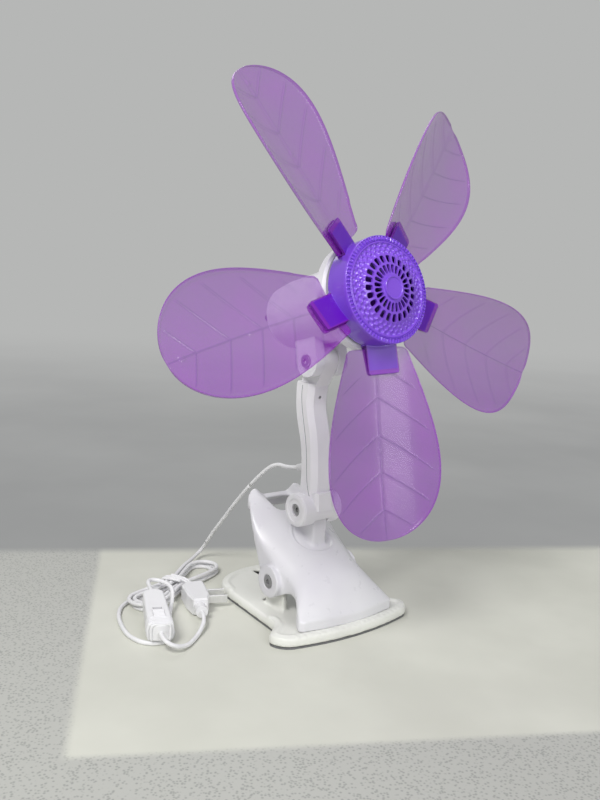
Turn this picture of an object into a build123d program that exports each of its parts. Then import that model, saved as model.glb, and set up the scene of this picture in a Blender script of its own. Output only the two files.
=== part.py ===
from build123d import *
from math import acos, atan2, cos, degrees, hypot, pi, radians, sin, sqrt, tan
import os

# A clip fan: a sprung clip with a flat foot, a tilting arm, and a tilting motor head
# that carries a five-bladed soft rotor.  X is sideways, -Y is the front, +Z is up.
# The origin is on the underside of the foot, on the symmetry plane.

os.makedirs("parts", exist_ok=True)

# ---------------------------------------------------------------- driving dimensions, mm
# Foot plate
pad_thickness = 1.5
plate_thickness = 6.5
plate_wall = 2.6
plate_edge_radius = 2.6
pad_margin = 0.8
plate_front_y = -54.0
plate_lip_y = -47.6
plate_half_width = 64.6
plate_corner = 12.0
plate_waist_half = 49.6
plate_waist_y = -11.0
plate_heel_half = 44.7
plate_heel_y = 55.0
plate_heel_length = 32.5
hang_slot_width = 6.0
hang_slot_length = 15.0
hang_slot_y = 71.0

# Clip
clip_wall = 2.4
clip_front_y = -48.0
clip_rear_y = 57.5
clip_lip_half = 45.2
clip_gap = 0.3
clip_pivot_y = 6.3
clip_pivot_z = 29.5
clip_boss_radius = 12.3
clip_boss_face = 40.0
lug_outer_face = 32.2
lug_thickness = 4.0
lug_radius = 9.0
pin_radius = 2.5
pin_head_radius = 5.0
pin_head_height = 2.2
finger_hole_width = 30.0
finger_hole_length = 22.0
finger_hole_y = 41.0
dish_radius = 18.0
dish_depth = 1.2

# Knuckles
running_gap = 0.05
side_gap = 0.3
knuckle_y = 5.0
lower_knuckle_z = 83.0
upper_knuckle_rise = 17.5
tongue_half = 6.5
lower_tongue_radius = 8.0
lower_tongue_flare = 1.5
lower_boss_radius = 13.0
lower_boss_face = 17.8
upper_tongue_radius = 11.0
ear_radius = 12.0
ear_face = 15.0
knuckle_screw_radius = 2.5
knuckle_head_radius = 4.6
knuckle_head_height = 3.0
knuckle_nut_across = 8.0

# Arm
arm_half_width = 10.0
arm_flat_half = 6.0
arm_wall = 2.2
arm_height = 97.0
arm_cover_gap = 0.15
arm_screw_radius = 1.4
arm_screw_head_radius = 2.6
arm_screw_head_height = 1.6
arm_screw_length = 12.0
arm_boss_radius = 3.0

# Head
head_pitch = 14.5
rotor_forward = 63.3
rotor_rise = 38.7
flange_radius = 38.5
flange_front = -8.0
flange_rear = -16.0
housing_radius = 26.5
housing_wall = 2.4
housing_split = -30.0
housing_taper_start = -80.0
housing_rear = -97.0
housing_rear_radius = 23.0
shaft_radius = 4.0
bush_radius = 8.0
bush_length = 8.0
stator_front = -42.0
stator_rear = -72.0
motor_core_radius = 13.0
motor_air_gap = 0.5
through_screw_radius = 1.5
through_screw_place = 20.6

# Rotor
sweep_radius = 171.0
blade_count = 5
first_blade_angle = 54.7
blade_thickness = 1.6
blade_pitch = 24.1
blade_twist = 4.9
blade_camber = 0.0061
blade_root = 38.4
hub_radius = 37.6
hub_wall = 2.0
hub_rear = -5.0
hub_front = 11.5
hub_deck = 8.0
hub_boss_radius = 8.0
socket_width = 26.0
socket_reach = 57.0
socket_front = 6.5
socket_back = 5.0
socket_gap = 0.15
cap_wall = 1.8
cap_rim = 14.0
cap_crown = 20.7
cap_button_radius = 8.6
cap_window_count = 26
cap_window_place = 20.6
cap_slit_place = 13.9

# Cord
cord_diameter = 3.2
gland_drop = 15.0
gland_length = 14.0
gland_rise = 30.5

# ---------------------------------------------------------------- shared places
plate_top = pad_thickness + plate_thickness
arm_top_z = lower_knuckle_z + arm_height
upper_knuckle_z = arm_top_z + upper_knuckle_rise
head_axis = Vector(0, -cos(radians(head_pitch)), sin(radians(head_pitch)))
head_up = Vector(0, sin(radians(head_pitch)), cos(radians(head_pitch)))
upper_knuckle = Vector(0, knuckle_y, upper_knuckle_z)
rotor_center = upper_knuckle + head_axis * rotor_forward + head_up * rotor_rise
head_plane = Plane(origin=rotor_center, x_dir=(1, 0, 0), z_dir=head_axis)
turning_plane = Plane(origin=rotor_center, x_dir=(1, 0, 0), z_dir=-head_up)
spin_axis = Axis(rotor_center, head_axis)


def turned(profile):
    """A solid turned about the rotor's axis from (radius, height) points."""
    with BuildPart() as piece:
        with BuildSketch(turning_plane):
            with BuildLine():
                Polyline(*profile, close=True)
            make_face()
        revolve(axis=spin_axis)
    return piece.part


def ring(inner, outer, low, high):
    """A plain ring about the rotor's axis."""
    return turned([(inner, low), (outer, low), (outer, high), (inner, high)])


def cross_screw(y, z, head_face, length, shank, head, head_height, drive):
    """A screw lying along X, with its head on the -X side and a hexagon drive."""
    with BuildPart() as screw:
        with BuildSketch(Plane.YZ.offset(head_face)):
            with Locations((y, z)):
                Circle(head)
        extrude(amount=head_height)
        with BuildSketch(Plane.YZ.offset(head_face + head_height)):
            with Locations((y, z)):
                Circle(shank)
        extrude(amount=length)
        with BuildSketch(Plane.YZ.offset(head_face)):
            with Locations((y, z)):
                RegularPolygon(drive, 6, major_radius=False)
        extrude(amount=head_height * 0.6, mode=Mode.SUBTRACT)
    return screw.part


def cross_nut(y, z, low_face, thickness, across, bore):
    """A hexagon nut threaded on a screw that lies along X."""
    with BuildPart() as nut:
        with BuildSketch(Plane.YZ.offset(low_face)):
            with Locations((y, z)):
                RegularPolygon(across / 2, 6, major_radius=False)
                Circle(bore, mode=Mode.SUBTRACT)
        extrude(amount=thickness)
    return nut.part


# ---------------------------------------------------------------- foot
def foot_outline(inset):
    """The foot seen from above: bowed lip, waist, long taper and round heel, drawn in by an inset."""
    lip_x = plate_half_width - plate_corner
    corner_y = plate_lip_y + plate_corner + 1.1
    front_y = plate_front_y + inset
    widest = (plate_half_width - inset, corner_y)
    shoulder = (widest[0] - 3.1, corner_y + 6.0)
    neck = (plate_waist_half + 4.6 - inset, corner_y + 12.0)
    waist = (plate_waist_half - inset, plate_waist_y)
    heel_half = plate_heel_half - inset
    heel_length = plate_heel_length - inset
    with BuildSketch() as outline:
        with BuildLine():
            lip = ThreePointArc((0, front_y), (lip_x / 2, front_y + 1.6), (lip_x, plate_lip_y + inset))
            corner = TangentArc(lip @ 1, widest, tangent=lip % 1)
            Spline(corner @ 1, shoulder, neck, waist, tangents=(corner % 1, (-0.074, 1)))
            Line(waist, (heel_half, plate_heel_y))
            EllipticalCenterArc((0, plate_heel_y), heel_half, heel_length, start_angle=0, arc_size=90)
            Line((0, plate_heel_y + heel_length), (0, front_y))
        make_face()
        mirror(about=Plane.YZ)
    return outline.sketch


with BuildPart() as base_plate:
    with BuildSketch(Plane.XY.offset(pad_thickness)):
        add(foot_outline(0))
    extrude(amount=plate_thickness)
    fillet(base_plate.edges().group_by(Axis.Z)[-1], plate_edge_radius)
    with BuildSketch(Plane.XY.offset(pad_thickness)):
        add(foot_outline(plate_wall))
    extrude(amount=plate_thickness - plate_wall, mode=Mode.SUBTRACT)
    # stiffening ribs under the plate
    for rib_x in (-24, 0, 24):
        with BuildSketch(Plane.XY.offset(pad_thickness + 0.2)):
            with Locations((rib_x, 12)):
                Rectangle(2, 100)
        extrude(amount=plate_thickness - 1)
    # two lugs that carry the clip's pin
    with BuildSketch(Plane.YZ.offset(lug_outer_face - lug_thickness)) as lug_side:
        with Locations((clip_pivot_y, clip_pivot_z)):
            Circle(lug_radius)
        with Locations((clip_pivot_y, plate_top)):
            Rectangle(2 * lug_radius + 6, 1)
        make_hull()
    extrude(amount=lug_thickness)
    mirror(about=Plane.YZ)
    with BuildSketch(Plane.YZ.offset(-lug_outer_face - 1)):
        with Locations((clip_pivot_y, clip_pivot_z)):
            Circle(pin_radius + running_gap)
    extrude(amount=2 * lug_outer_face + 2, mode=Mode.SUBTRACT)
    # slots beside the lugs, and the slot that the fan hangs on a wall by
    with BuildSketch(Plane.XY.offset(pad_thickness)):
        with Locations((26, 21), (-26, 21)):
            SlotOverall(11, 6)
        with Locations((0, hang_slot_y)):
            SlotOverall(hang_slot_length, hang_slot_width, rotation=90)
    extrude(amount=plate_thickness + 1, mode=Mode.SUBTRACT)
base_plate.part.label = "base_plate"
export_step(base_plate.part, "parts/base_plate.step")

with BuildPart() as base_pad:
    with BuildSketch():
        add(foot_outline(pad_margin))
        with Locations((0, hang_slot_y)):
            SlotOverall(hang_slot_length + 3, hang_slot_width + 3, rotation=90, mode=Mode.SUBTRACT)
    extrude(amount=pad_thickness)
base_pad.part.label = "base_pad"
export_step(base_pad.part, "parts/base_pad.step")

# ---------------------------------------------------------------- clip
# y, half width, crease height, crown height of the hood's cross-sections
hood_stations = [
    (-51.0, 46.0, 8.0, 11.0), (-40.0, 45.0, 16.4, 28.0), (-30.0, 39.4, 24.4, 40.6),
    (-20.0, 34.8, 32.0, 48.4), (-6.0, 34.8, 38.4, 56.8), (8.0, 36.4, 45.6, 64.6),
    (20.0, 37.0, 53.6, 71.2), (31.0, 37.0, 63.6, 77.4), (40.0, 35.2, 74.6, 83.0),
    (49.0, 31.2, 85.4, 87.6), (59.0, 28.6, 91.6, 92.4),
]


def hood_solid(inset):
    """The clip's crowned hood, filled down to the foot, drawn in by an inset."""
    with BuildPart() as hood:
        for station_y, half, crease, crown in hood_stations:
            wide = half - inset
            shoulder = crease - inset
            with BuildSketch(Plane(origin=(0, station_y, 0), x_dir=(1, 0, 0), z_dir=(0, -1, 0))):
                with BuildLine():
                    Line((-wide, 0), (-wide, shoulder))
                    ThreePointArc((-wide, shoulder), (0, crown - inset), (wide, shoulder))
                    Line((wide, shoulder), (wide, 0))
                    Line((wide, 0), (-wide, 0))
                make_face()
        loft()
        with BuildSketch() as plan:
            with BuildLine():
                side = clip_lip_half
                lip_y = clip_front_y + 4.6
                ThreePointArc((-side + 5, lip_y), (0, clip_front_y), (side - 5, lip_y))
                ThreePointArc((side - 5, lip_y), (side - 1.2, lip_y + 1.6), (side, lip_y + 5.2))
                Line((side, lip_y + 5.2), (side, clip_rear_y - 17))
                Line((side, clip_rear_y - 17), (31.2, clip_rear_y - 11))
                ThreePointArc((31.2, clip_rear_y - 11), (28.0, clip_rear_y - 3.4), (19, clip_rear_y))
                Line((19, clip_rear_y), (-19, clip_rear_y))
                ThreePointArc((-19, clip_rear_y), (-28.0, clip_rear_y - 3.4), (-31.2, clip_rear_y - 11))
                Line((-31.2, clip_rear_y - 11), (-side, clip_rear_y - 17))
                Line((-side, clip_rear_y - 17), (-side, lip_y + 5.2))
                ThreePointArc((-side, lip_y + 5.2), (-side + 1.2, lip_y + 1.6), (-side + 5, lip_y))
            make_face()
            if inset > 0:
                offset(amount=-inset, mode=Mode.REPLACE)
        extrude(amount=120, mode=Mode.INTERSECT)
    return hood.part


hood_outer = hood_solid(0)
hood_inner = hood_solid(clip_wall)
hood_dished = hood_solid(dish_depth)

with BuildPart() as dish:
    with Locations((0, knuckle_y, 40)):
        Cylinder(dish_radius, 80, align=(Align.CENTER, Align.CENTER, Align.MIN))
    add(hood_dished, mode=Mode.SUBTRACT)

with BuildPart() as jaw_shell:
    add(hood_outer)
    add(dish.part, mode=Mode.SUBTRACT)
    # the tongue that carries the arm
    with BuildSketch(Plane.YZ.offset(-tongue_half)):
        with Locations((knuckle_y, lower_knuckle_z)):
            Circle(lower_tongue_radius)
        with Locations((knuckle_y, 60)):
            Rectangle(2 * (lower_tongue_radius + lower_tongue_flare), 14)
        make_hull()
    extrude(amount=2 * tongue_half)
    add(hood_inner, mode=Mode.SUBTRACT)
    # the side walls' lower edge: lip, arch, boss and swept rear edge
    with BuildSketch(Plane.YZ.offset(-60)):
        with BuildLine():
            Line((-70, plate_top + clip_gap), (-30, plate_top + clip_gap))
            Spline((-30, plate_top + clip_gap), (-27.5, 19.5), (-17, 24.6), (-7, 22.3), (1.3, 18.8))
            ThreePointArc((1.3, 18.8), (9.4, 18.1), (17.0, 24.5))
            Spline((17.0, 24.5), (21.5, 33.5), (29.7, 51), (39.4, 68.7), (44.5, 77.5))
            Polyline((44.5, 77.5), (70, 80.5), (70, -10), (-70, -10), (-70, plate_top + clip_gap))
        make_face()
    extrude(amount=120, mode=Mode.SUBTRACT)
    # the two pivot bosses, which face the foot's lugs
    for boss_low in (lug_outer_face + side_gap, -clip_boss_face):
        with BuildSketch(Plane.YZ.offset(boss_low)):
            with Locations((clip_pivot_y, clip_pivot_z)):
                Circle(clip_boss_radius)
        extrude(amount=clip_boss_face - lug_outer_face - side_gap)
    # finger hole in the handle
    with BuildSketch(Plane.XY.offset(60)):
        with Locations((0, finger_hole_y)):
            RectangleRounded(finger_hole_width, finger_hole_length, 9)
    extrude(amount=50, mode=Mode.SUBTRACT)
    # bore and head recesses for the clip's pin, and the arm screw's bore
    with BuildSketch(Plane.YZ.offset(-clip_boss_face - 1)):
        with Locations((clip_pivot_y, clip_pivot_z)):
            Circle(pin_radius + running_gap)
    extrude(amount=2 * clip_boss_face + 2, mode=Mode.SUBTRACT)
    with BuildSketch(Plane.YZ.offset(-clip_boss_face)):
        with Locations((clip_pivot_y, clip_pivot_z)):
            Circle(pin_head_radius + side_gap)
    extrude(amount=pin_head_height + 0.6, mode=Mode.SUBTRACT)
    with BuildSketch(Plane.YZ.offset(clip_boss_face - pin_head_height - 0.6)):
        with Locations((clip_pivot_y, clip_pivot_z)):
            Circle(pin_head_radius + side_gap)
    extrude(amount=pin_head_height + 0.6, mode=Mode.SUBTRACT)
    with BuildSketch(Plane.YZ.offset(-tongue_half - 1)):
        with Locations((knuckle_y, lower_knuckle_z)):
            Circle(knuckle_screw_radius + running_gap)
    extrude(amount=2 * tongue_half + 2, mode=Mode.SUBTRACT)
jaw_shell.part.label = "jaw_shell"
export_step(jaw_shell.part, "parts/jaw_shell.step")
print("jaw solids", len(jaw_shell.solids()), jaw_shell.part.volume, jaw_shell.part.is_valid)

with BuildPart() as jaw_grip:
    with BuildSketch(Plane.XY.offset(plate_top + clip_gap)) as grip_plan:
        with BuildLine():
            grip_side = clip_lip_half - clip_wall - 6
            ThreePointArc((-grip_side, clip_front_y + 7.8), (0, clip_front_y + clip_wall + 0.7),
                          (grip_side, clip_front_y + 7.8))
            Polyline((grip_side, clip_front_y + 7.8), (grip_side, -36), (-grip_side, -36),
                     (-grip_side, clip_front_y + 7.8))
        make_face()
    extrude(amount=2.6)
    for groove_y in (-42.5, -39.5):
        with BuildSketch(Plane.XY.offset(plate_top + clip_gap)):
            with Locations((0, groove_y)):
                Rectangle(2 * grip_side - 8, 1.2)
        extrude(amount=0.8, mode=Mode.SUBTRACT)
jaw_grip.part.label = "jaw_grip"
export_step(jaw_grip.part, "parts/jaw_grip.step")

pivot_pin = cross_screw(clip_pivot_y, clip_pivot_z, -clip_boss_face + 0.4,
                        2 * clip_boss_face - pin_head_height - 0.8, pin_radius,
                        pin_head_radius, pin_head_height, 1.8)
pivot_pin.label = "pivot_pin"
export_step(pivot_pin, "parts/pivot_pin.step")

pivot_nut = cross_nut(clip_pivot_y, clip_pivot_z, clip_boss_face - pin_head_height - 0.4,
                      pin_head_height, 8.0, pin_radius + 0.02)
pivot_nut.label = "pivot_nut"
export_step(pivot_nut, "parts/pivot_nut.step")


# ---------------------------------------------------------------- wound tubes
def arc_joint(p, a, q, b):
    """The point where two arcs from p along a and into q along b meet, and their shared direction."""
    v = q - p
    t = a + b
    turn = 2 * (1 - a.dot(b))
    if turn < 1e-9:
        reach = v.dot(v) / (4 * v.dot(b))
    else:
        reach = (-v.dot(t) + sqrt(v.dot(t) ** 2 + turn * v.dot(v))) / turn
    middle = (p + q + (a - b) * reach) * 0.5
    return middle, (q - p - t * reach).normalized()


def wound_tube(knots, diameter):
    """One unbroken round tube through (point, direction) knots, on pairs of arcs and straight runs."""
    with BuildPart() as tube:
        with BuildLine() as route:
            for (p, a), (q, b) in zip(knots, knots[1:]):
                if (q - p).cross(a).length < 1e-6 * (q - p).length and a.dot(b) > 1 - 1e-9:
                    Line(p, q)
                else:
                    middle, along = arc_joint(p, a, q, b)
                    TangentArc(p, middle, tangent=a)
                    TangentArc(middle, q, tangent=along)
        with BuildSketch(Plane(origin=knots[0][0], z_dir=knots[0][1])):
            Circle(diameter / 2)
        sweep(path=route.wires()[0])
    return tube.part, route.wires()[0]


def least_gap(path, diameter):
    """The least clear distance of a tube to itself, measured on points along its path."""
    steps = int(path.length / (0.4 * diameter))
    points = [path.position_at(i / steps) for i in range(steps + 1)]
    apart = 6
    gaps = [(points[i] - points[j]).length for i in range(0, steps + 1, 2)
            for j in range(i + apart, steps + 1)
            if (points[i] - points[j]).length < 3 * diameter]
    return min(gaps + [3 * diameter]) - diameter


# ---------------------------------------------------------------- clip spring
spring_wire = 1.6
spring_clearance = 0.3
spring_mean_radius = pin_radius + spring_clearance + spring_wire / 2
spring_turns = 5
spring_pitch = 2.4
spring_low_end = (37.0, plate_top + 0.3 + spring_wire / 2)
spring_high_end = (27.5, 70.3)


def leg_touch(end, side):
    """Angle on the coil where a straight leg to a (y, z) end leaves it, and the leg's length."""
    dy, dz = end[0] - clip_pivot_y, end[1] - clip_pivot_z
    distance = hypot(dy, dz)
    lean = degrees(atan2(dz, dy))
    return lean + side * degrees(acos(spring_mean_radius / distance)), \
        sqrt(distance ** 2 - spring_mean_radius ** 2)


def coil_point(angle, x):
    return Vector(x, clip_pivot_y + spring_mean_radius * cos(radians(angle)),
                  clip_pivot_z + spring_mean_radius * sin(radians(angle)))


low_angle, low_leg = leg_touch(spring_low_end, 1)
high_angle, high_leg = leg_touch(spring_high_end, -1)
spring_sweep = 360 * spring_turns + ((high_angle - low_angle) % 360)
coil_rise = spring_pitch * spring_sweep / 360
spring_steps = int(spring_sweep / 90) + 1
spring_knots = []
for step in range(spring_steps + 1):
    share = step / spring_steps
    angle = low_angle + spring_sweep * share
    heading = Vector(spring_pitch / (2 * pi * spring_mean_radius), -sin(radians(angle)),
                     cos(radians(angle))).normalized()
    spring_knots.append((coil_point(angle, coil_rise * (share - 0.5)), heading))
first_point, first_heading = spring_knots[0]
last_point, last_heading = spring_knots[-1]
spring_knots.insert(0, (first_point - first_heading * low_leg, first_heading))
spring_knots.append((last_point + last_heading * high_leg, last_heading))
jaw_spring, spring_path = wound_tube(spring_knots, spring_wire)
print("spring gap to itself", round(least_gap(spring_path, spring_wire), 2), jaw_spring.is_valid)
jaw_spring.label = "jaw_spring"
export_step(jaw_spring, "parts/jaw_spring.step")

# ---------------------------------------------------------------- arm
# share of the arm's height, front edge and rear edge, seen from the side
arm_profile = [
    (0, -4.2, 14.2), (0.12, -5.0, 15.0), (0.3, -5.2, 14.2), (0.43, -4.0, 15.2), (0.54, -2.6, 17.5),
    (0.64, -0.4, 20.8), (0.74, 2.8, 23.8), (0.87, 5.0, 25.4), (1, 4.2, 24.9),
]
# share of the arm's height and place of the seam on the arm's sides
seam_profile = [(0.12, -1.0), (0.3, 3.6), (0.43, 5.0), (0.54, 6.8), (0.64, 9.2), (0.74, 12.2),
                (0.87, 14.6), (0.98, 14.4)]
arm_stations = [(lower_knuckle_z + share * arm_height, front, rear) for share, front, rear in arm_profile]
arm_seam = [(y, lower_knuckle_z + share * arm_height) for share, y in seam_profile]
arm_screw_places = [lower_knuckle_z + share * arm_height for share in (0.21, 0.59, 0.89)]
gland_z = lower_knuckle_z + gland_rise
gland_point = Vector(0, 13.6, gland_z)
gland_heading = Vector(0, cos(radians(gland_drop)), -sin(radians(gland_drop)))
gland_plane = Plane(origin=gland_point, x_dir=(1, 0, 0), z_dir=gland_heading)


def arm_solid(inset, stations):
    """The arm's curved box with chamfered corners, lofted up its height."""
    half, flat = arm_half_width, arm_flat_half
    bevel = half - flat
    with BuildPart() as box:
        for z, front, rear in stations:
            with BuildSketch(Plane.XY.offset(z)):
                with BuildLine():
                    Polyline((-flat, front), (flat, front), (half, front + bevel), (half, rear - bevel),
                             (flat, rear), (-flat, rear), (-half, rear - bevel), (-half, front + bevel),
                             close=True)
                make_face()
                if inset > 0:
                    offset(amount=-inset, kind=Kind.INTERSECTION, mode=Mode.REPLACE)
        loft()
    return box.part


def cover_region(gap):
    """Everything behind the arm's side seam, as a prism across its width."""
    seam = [(y + gap, z) for y, z in arm_seam]
    with BuildPart() as region:
        with BuildSketch(Plane.YZ.offset(-30)):
            with BuildLine():
                Spline(*seam)
                Polyline(seam[-1], (60, seam[-1][1]), (60, seam[0][1]), seam[0])
            make_face()
        extrude(amount=60)
    return region.part


arm_outer = arm_solid(0, arm_stations)
arm_hollow = arm_solid(arm_wall, [s for s in arm_stations[1:-1]] + [(arm_top_z - 4, 4.6, 25.0)])

with BuildPart() as arm_bosses:
    for screw_z in arm_screw_places:
        with Locations((0, -10, screw_z)):
            Cylinder(arm_boss_radius, 50, rotation=(-90, 0, 0),
                     align=(Align.CENTER, Align.CENTER, Align.MIN))
    add(arm_outer, mode=Mode.INTERSECT)

with BuildPart() as arm_front:
    add(arm_outer)
    # clevis bosses round the lower knuckle
    with BuildSketch(Plane.YZ.offset(-lower_boss_face)):
        with Locations((knuckle_y, lower_knuckle_z)):
            Circle(lower_boss_radius)
    extrude(amount=2 * lower_boss_face)
    fillet(arm_front.edges().filter_by(GeomType.CIRCLE).group_by(Axis.X)[0], 1.2)
    fillet(arm_front.edges().filter_by(GeomType.CIRCLE).group_by(Axis.X)[-1], 1.2)
    # the tongue at the top
    with BuildSketch(Plane.YZ.offset(-tongue_half)):
        with Locations((knuckle_y, upper_knuckle_z)):
            Circle(upper_tongue_radius)
        with Locations((12.5, arm_top_z - 2)):
            Rectangle(15, 4)
        make_hull()
    extrude(amount=2 * tongue_half)
    add(arm_hollow, mode=Mode.SUBTRACT)
    # the fork that takes the clip's tongue
    with BuildSketch(Plane.YZ.offset(-tongue_half - side_gap)):
        with Locations((knuckle_y, lower_knuckle_z)):
            Circle(lower_tongue_radius + 0.5)
        with Locations((knuckle_y + 6, lower_knuckle_z - 12 + 4)):
            Rectangle(34, 24, align=(Align.CENTER, Align.CENTER))
        with Locations((knuckle_y + 14, lower_knuckle_z + 4)):
            Rectangle(28, 8)
    extrude(amount=2 * (tongue_half + side_gap), mode=Mode.SUBTRACT)
    # bolt bores and the screw head's counterbores
    with BuildSketch(Plane.YZ.offset(-lower_boss_face - 1)):
        with Locations((knuckle_y, lower_knuckle_z)):
            Circle(knuckle_screw_radius + running_gap)
    extrude(amount=2 * lower_boss_face + 2, mode=Mode.SUBTRACT)
    with BuildSketch(Plane.YZ.offset(-lower_boss_face)):
        with Locations((knuckle_y, lower_knuckle_z)):
            Circle(knuckle_head_radius + side_gap)
    extrude(amount=knuckle_head_height + 1.5, mode=Mode.SUBTRACT)
    with BuildSketch(Plane.YZ.offset(lower_boss_face - 4.2)):
        with Locations((knuckle_y, lower_knuckle_z)):
            RegularPolygon(knuckle_nut_across / 2 + side_gap, 6, major_radius=False)
    extrude(amount=4.2, mode=Mode.SUBTRACT)
    with BuildSketch(Plane.YZ.offset(-tongue_half - 1)):
        with Locations((knuckle_y, upper_knuckle_z)):
            Circle(knuckle_screw_radius + running_gap)
    extrude(amount=2 * tongue_half + 2, mode=Mode.SUBTRACT)
    # bosses that the cover's screws bite into
    add(arm_bosses.part)
    add(cover_region(0), mode=Mode.SUBTRACT)
    for screw_z in arm_screw_places:
        with Locations((0, 2.5, screw_z)):
            Cylinder(arm_screw_radius + 0.02, 40, rotation=(-90, 0, 0),
                     align=(Align.CENTER, Align.CENTER, Align.MIN), mode=Mode.SUBTRACT)
arm_front.part.label = "arm_front"
export_step(arm_front.part, "parts/arm_front.step")
print("arm_front solids", len(arm_front.solids()), arm_front.part.is_valid)

with BuildPart() as arm_cover:
    add(arm_outer)
    add(arm_hollow, mode=Mode.SUBTRACT)
    add(arm_bosses.part)
    add(cover_region(arm_cover_gap), mode=Mode.INTERSECT)
    for screw_z in arm_screw_places:
        with Locations((0, 2, screw_z)):
            Cylinder(arm_screw_radius + 0.1, 40, rotation=(-90, 0, 0),
                     align=(Align.CENTER, Align.CENTER, Align.MIN), mode=Mode.SUBTRACT)
    with BuildSketch(gland_plane.offset(-8)):
        Circle(4.1)
    extrude(amount=20, mode=Mode.SUBTRACT)
arm_cover.part.label = "arm_cover"
export_step(arm_cover.part, "parts/arm_cover.step")
print("arm_cover solids", len(arm_cover.solids()), arm_cover.part.is_valid)

arm_screw_gap = 0.25


def arm_rear(z):
    """The arm's rear edge at a height, between the two stations that the height lies between."""
    for (low_z, _, low_rear), (high_z, _, high_rear) in zip(arm_stations, arm_stations[1:]):
        if low_z <= z <= high_z:
            return low_rear + (high_rear - low_rear) * (z - low_z) / (high_z - low_z)


with BuildPart() as arm_screws:
    for screw_z in arm_screw_places:
        seat_y = max(arm_rear(screw_z - arm_screw_head_radius), arm_rear(screw_z + arm_screw_head_radius))
        seat_y += arm_screw_gap
        with Locations((0, seat_y, screw_z)):
            Cylinder(arm_screw_head_radius, arm_screw_head_height, rotation=(-90, 0, 0),
                     align=(Align.CENTER, Align.CENTER, Align.MIN))
            Cylinder(arm_screw_radius, arm_screw_length, rotation=(90, 0, 0),
                     align=(Align.CENTER, Align.CENTER, Align.MIN))
        # cross recess
        with Locations((0, seat_y + arm_screw_head_height, screw_z)):
            Box(3.2, 1.2, 0.7, mode=Mode.SUBTRACT)
            Box(0.7, 1.2, 3.2, mode=Mode.SUBTRACT)
arm_screws.part.label = "arm_screws"
export_step(arm_screws.part, "parts/arm_screws.step")

with BuildPart() as cord_gland:
    with BuildSketch(gland_plane.offset(-3.0)):
        Circle(4.0)
    with BuildSketch(gland_plane.offset(1.5)):
        Circle(4.0)
    loft()
    with BuildSketch(gland_plane.offset(1.5)):
        Circle(3.8)
    with BuildSketch(gland_plane.offset(gland_length)):
        Circle(2.5)
    loft()
    for groove in range(4):
        with BuildSketch(gland_plane.offset(3.2 + 2.5 * groove)):
            Circle(6)
            Circle(2.9 - 0.25 * groove, mode=Mode.SUBTRACT)
        extrude(amount=1.0, mode=Mode.SUBTRACT)
cord_gland.part.label = "cord_gland"
export_step(cord_gland.part, "parts/cord_gland.step")

lower_screw = cross_screw(knuckle_y, lower_knuckle_z, -lower_boss_face + 1.5,
                          2 * lower_boss_face - knuckle_head_height - 3.0, knuckle_screw_radius,
                          knuckle_head_radius, knuckle_head_height, 1.8)
lower_screw.label = "lower_screw"
export_step(lower_screw, "parts/lower_screw.step")

lower_nut = cross_nut(knuckle_y, lower_knuckle_z, lower_boss_face - 4.1, 3.0,
                      knuckle_nut_across, knuckle_screw_radius + 0.02)
lower_nut.label = "lower_nut"
export_step(lower_nut, "parts/lower_nut.step")

upper_screw = cross_screw(knuckle_y, upper_knuckle_z, -ear_face - 1.8,
                          2 * ear_face - 1.6, knuckle_screw_radius,
                          knuckle_head_radius, knuckle_head_height, 1.8)
upper_screw.label = "upper_screw"
export_step(upper_screw, "parts/upper_screw.step")

upper_nut = cross_nut(knuckle_y, upper_knuckle_z, ear_face - 3.2, 3.0,
                      knuckle_nut_across, knuckle_screw_radius + 0.02)
upper_nut.label = "upper_nut"
export_step(upper_nut, "parts/upper_nut.step")

# ---------------------------------------------------------------- head
with BuildPart() as housing_front:
    add(turned([(bush_radius + 0.02, flange_front), (flange_radius - 2, flange_front),
                (flange_radius, flange_front - 1.6), (flange_radius, flange_rear),
                (flange_radius - housing_wall, flange_rear),
                (flange_radius - housing_wall, flange_front - housing_wall - 0.8),
                (housing_radius, flange_front - housing_wall), (housing_radius, housing_split),
                (housing_radius - housing_wall, housing_split),
                (housing_radius - housing_wall, flange_front - housing_wall),
                (bush_radius + housing_wall, flange_front - housing_wall),
                (bush_radius + housing_wall, flange_front - bush_length),
                (bush_radius + 0.02, flange_front - bush_length)]))
    # posts for the two long through screws
    with BuildSketch(head_plane.offset(flange_front - housing_wall - 14)):
        with Locations((through_screw_place, 0), (-through_screw_place, 0)):
            Circle(3.4)
        Circle(housing_radius - 0.5, mode=Mode.INTERSECT)
    extrude(amount=14.5)
    with BuildSketch(head_plane.offset(flange_front - housing_wall - 15)):
        with Locations((through_screw_place, 0), (-through_screw_place, 0)):
            Circle(through_screw_radius + 0.02)
    extrude(amount=12, mode=Mode.SUBTRACT)
housing_front.part.label = "housing_front"
export_step(housing_front.part, "parts/housing_front.step")

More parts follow.
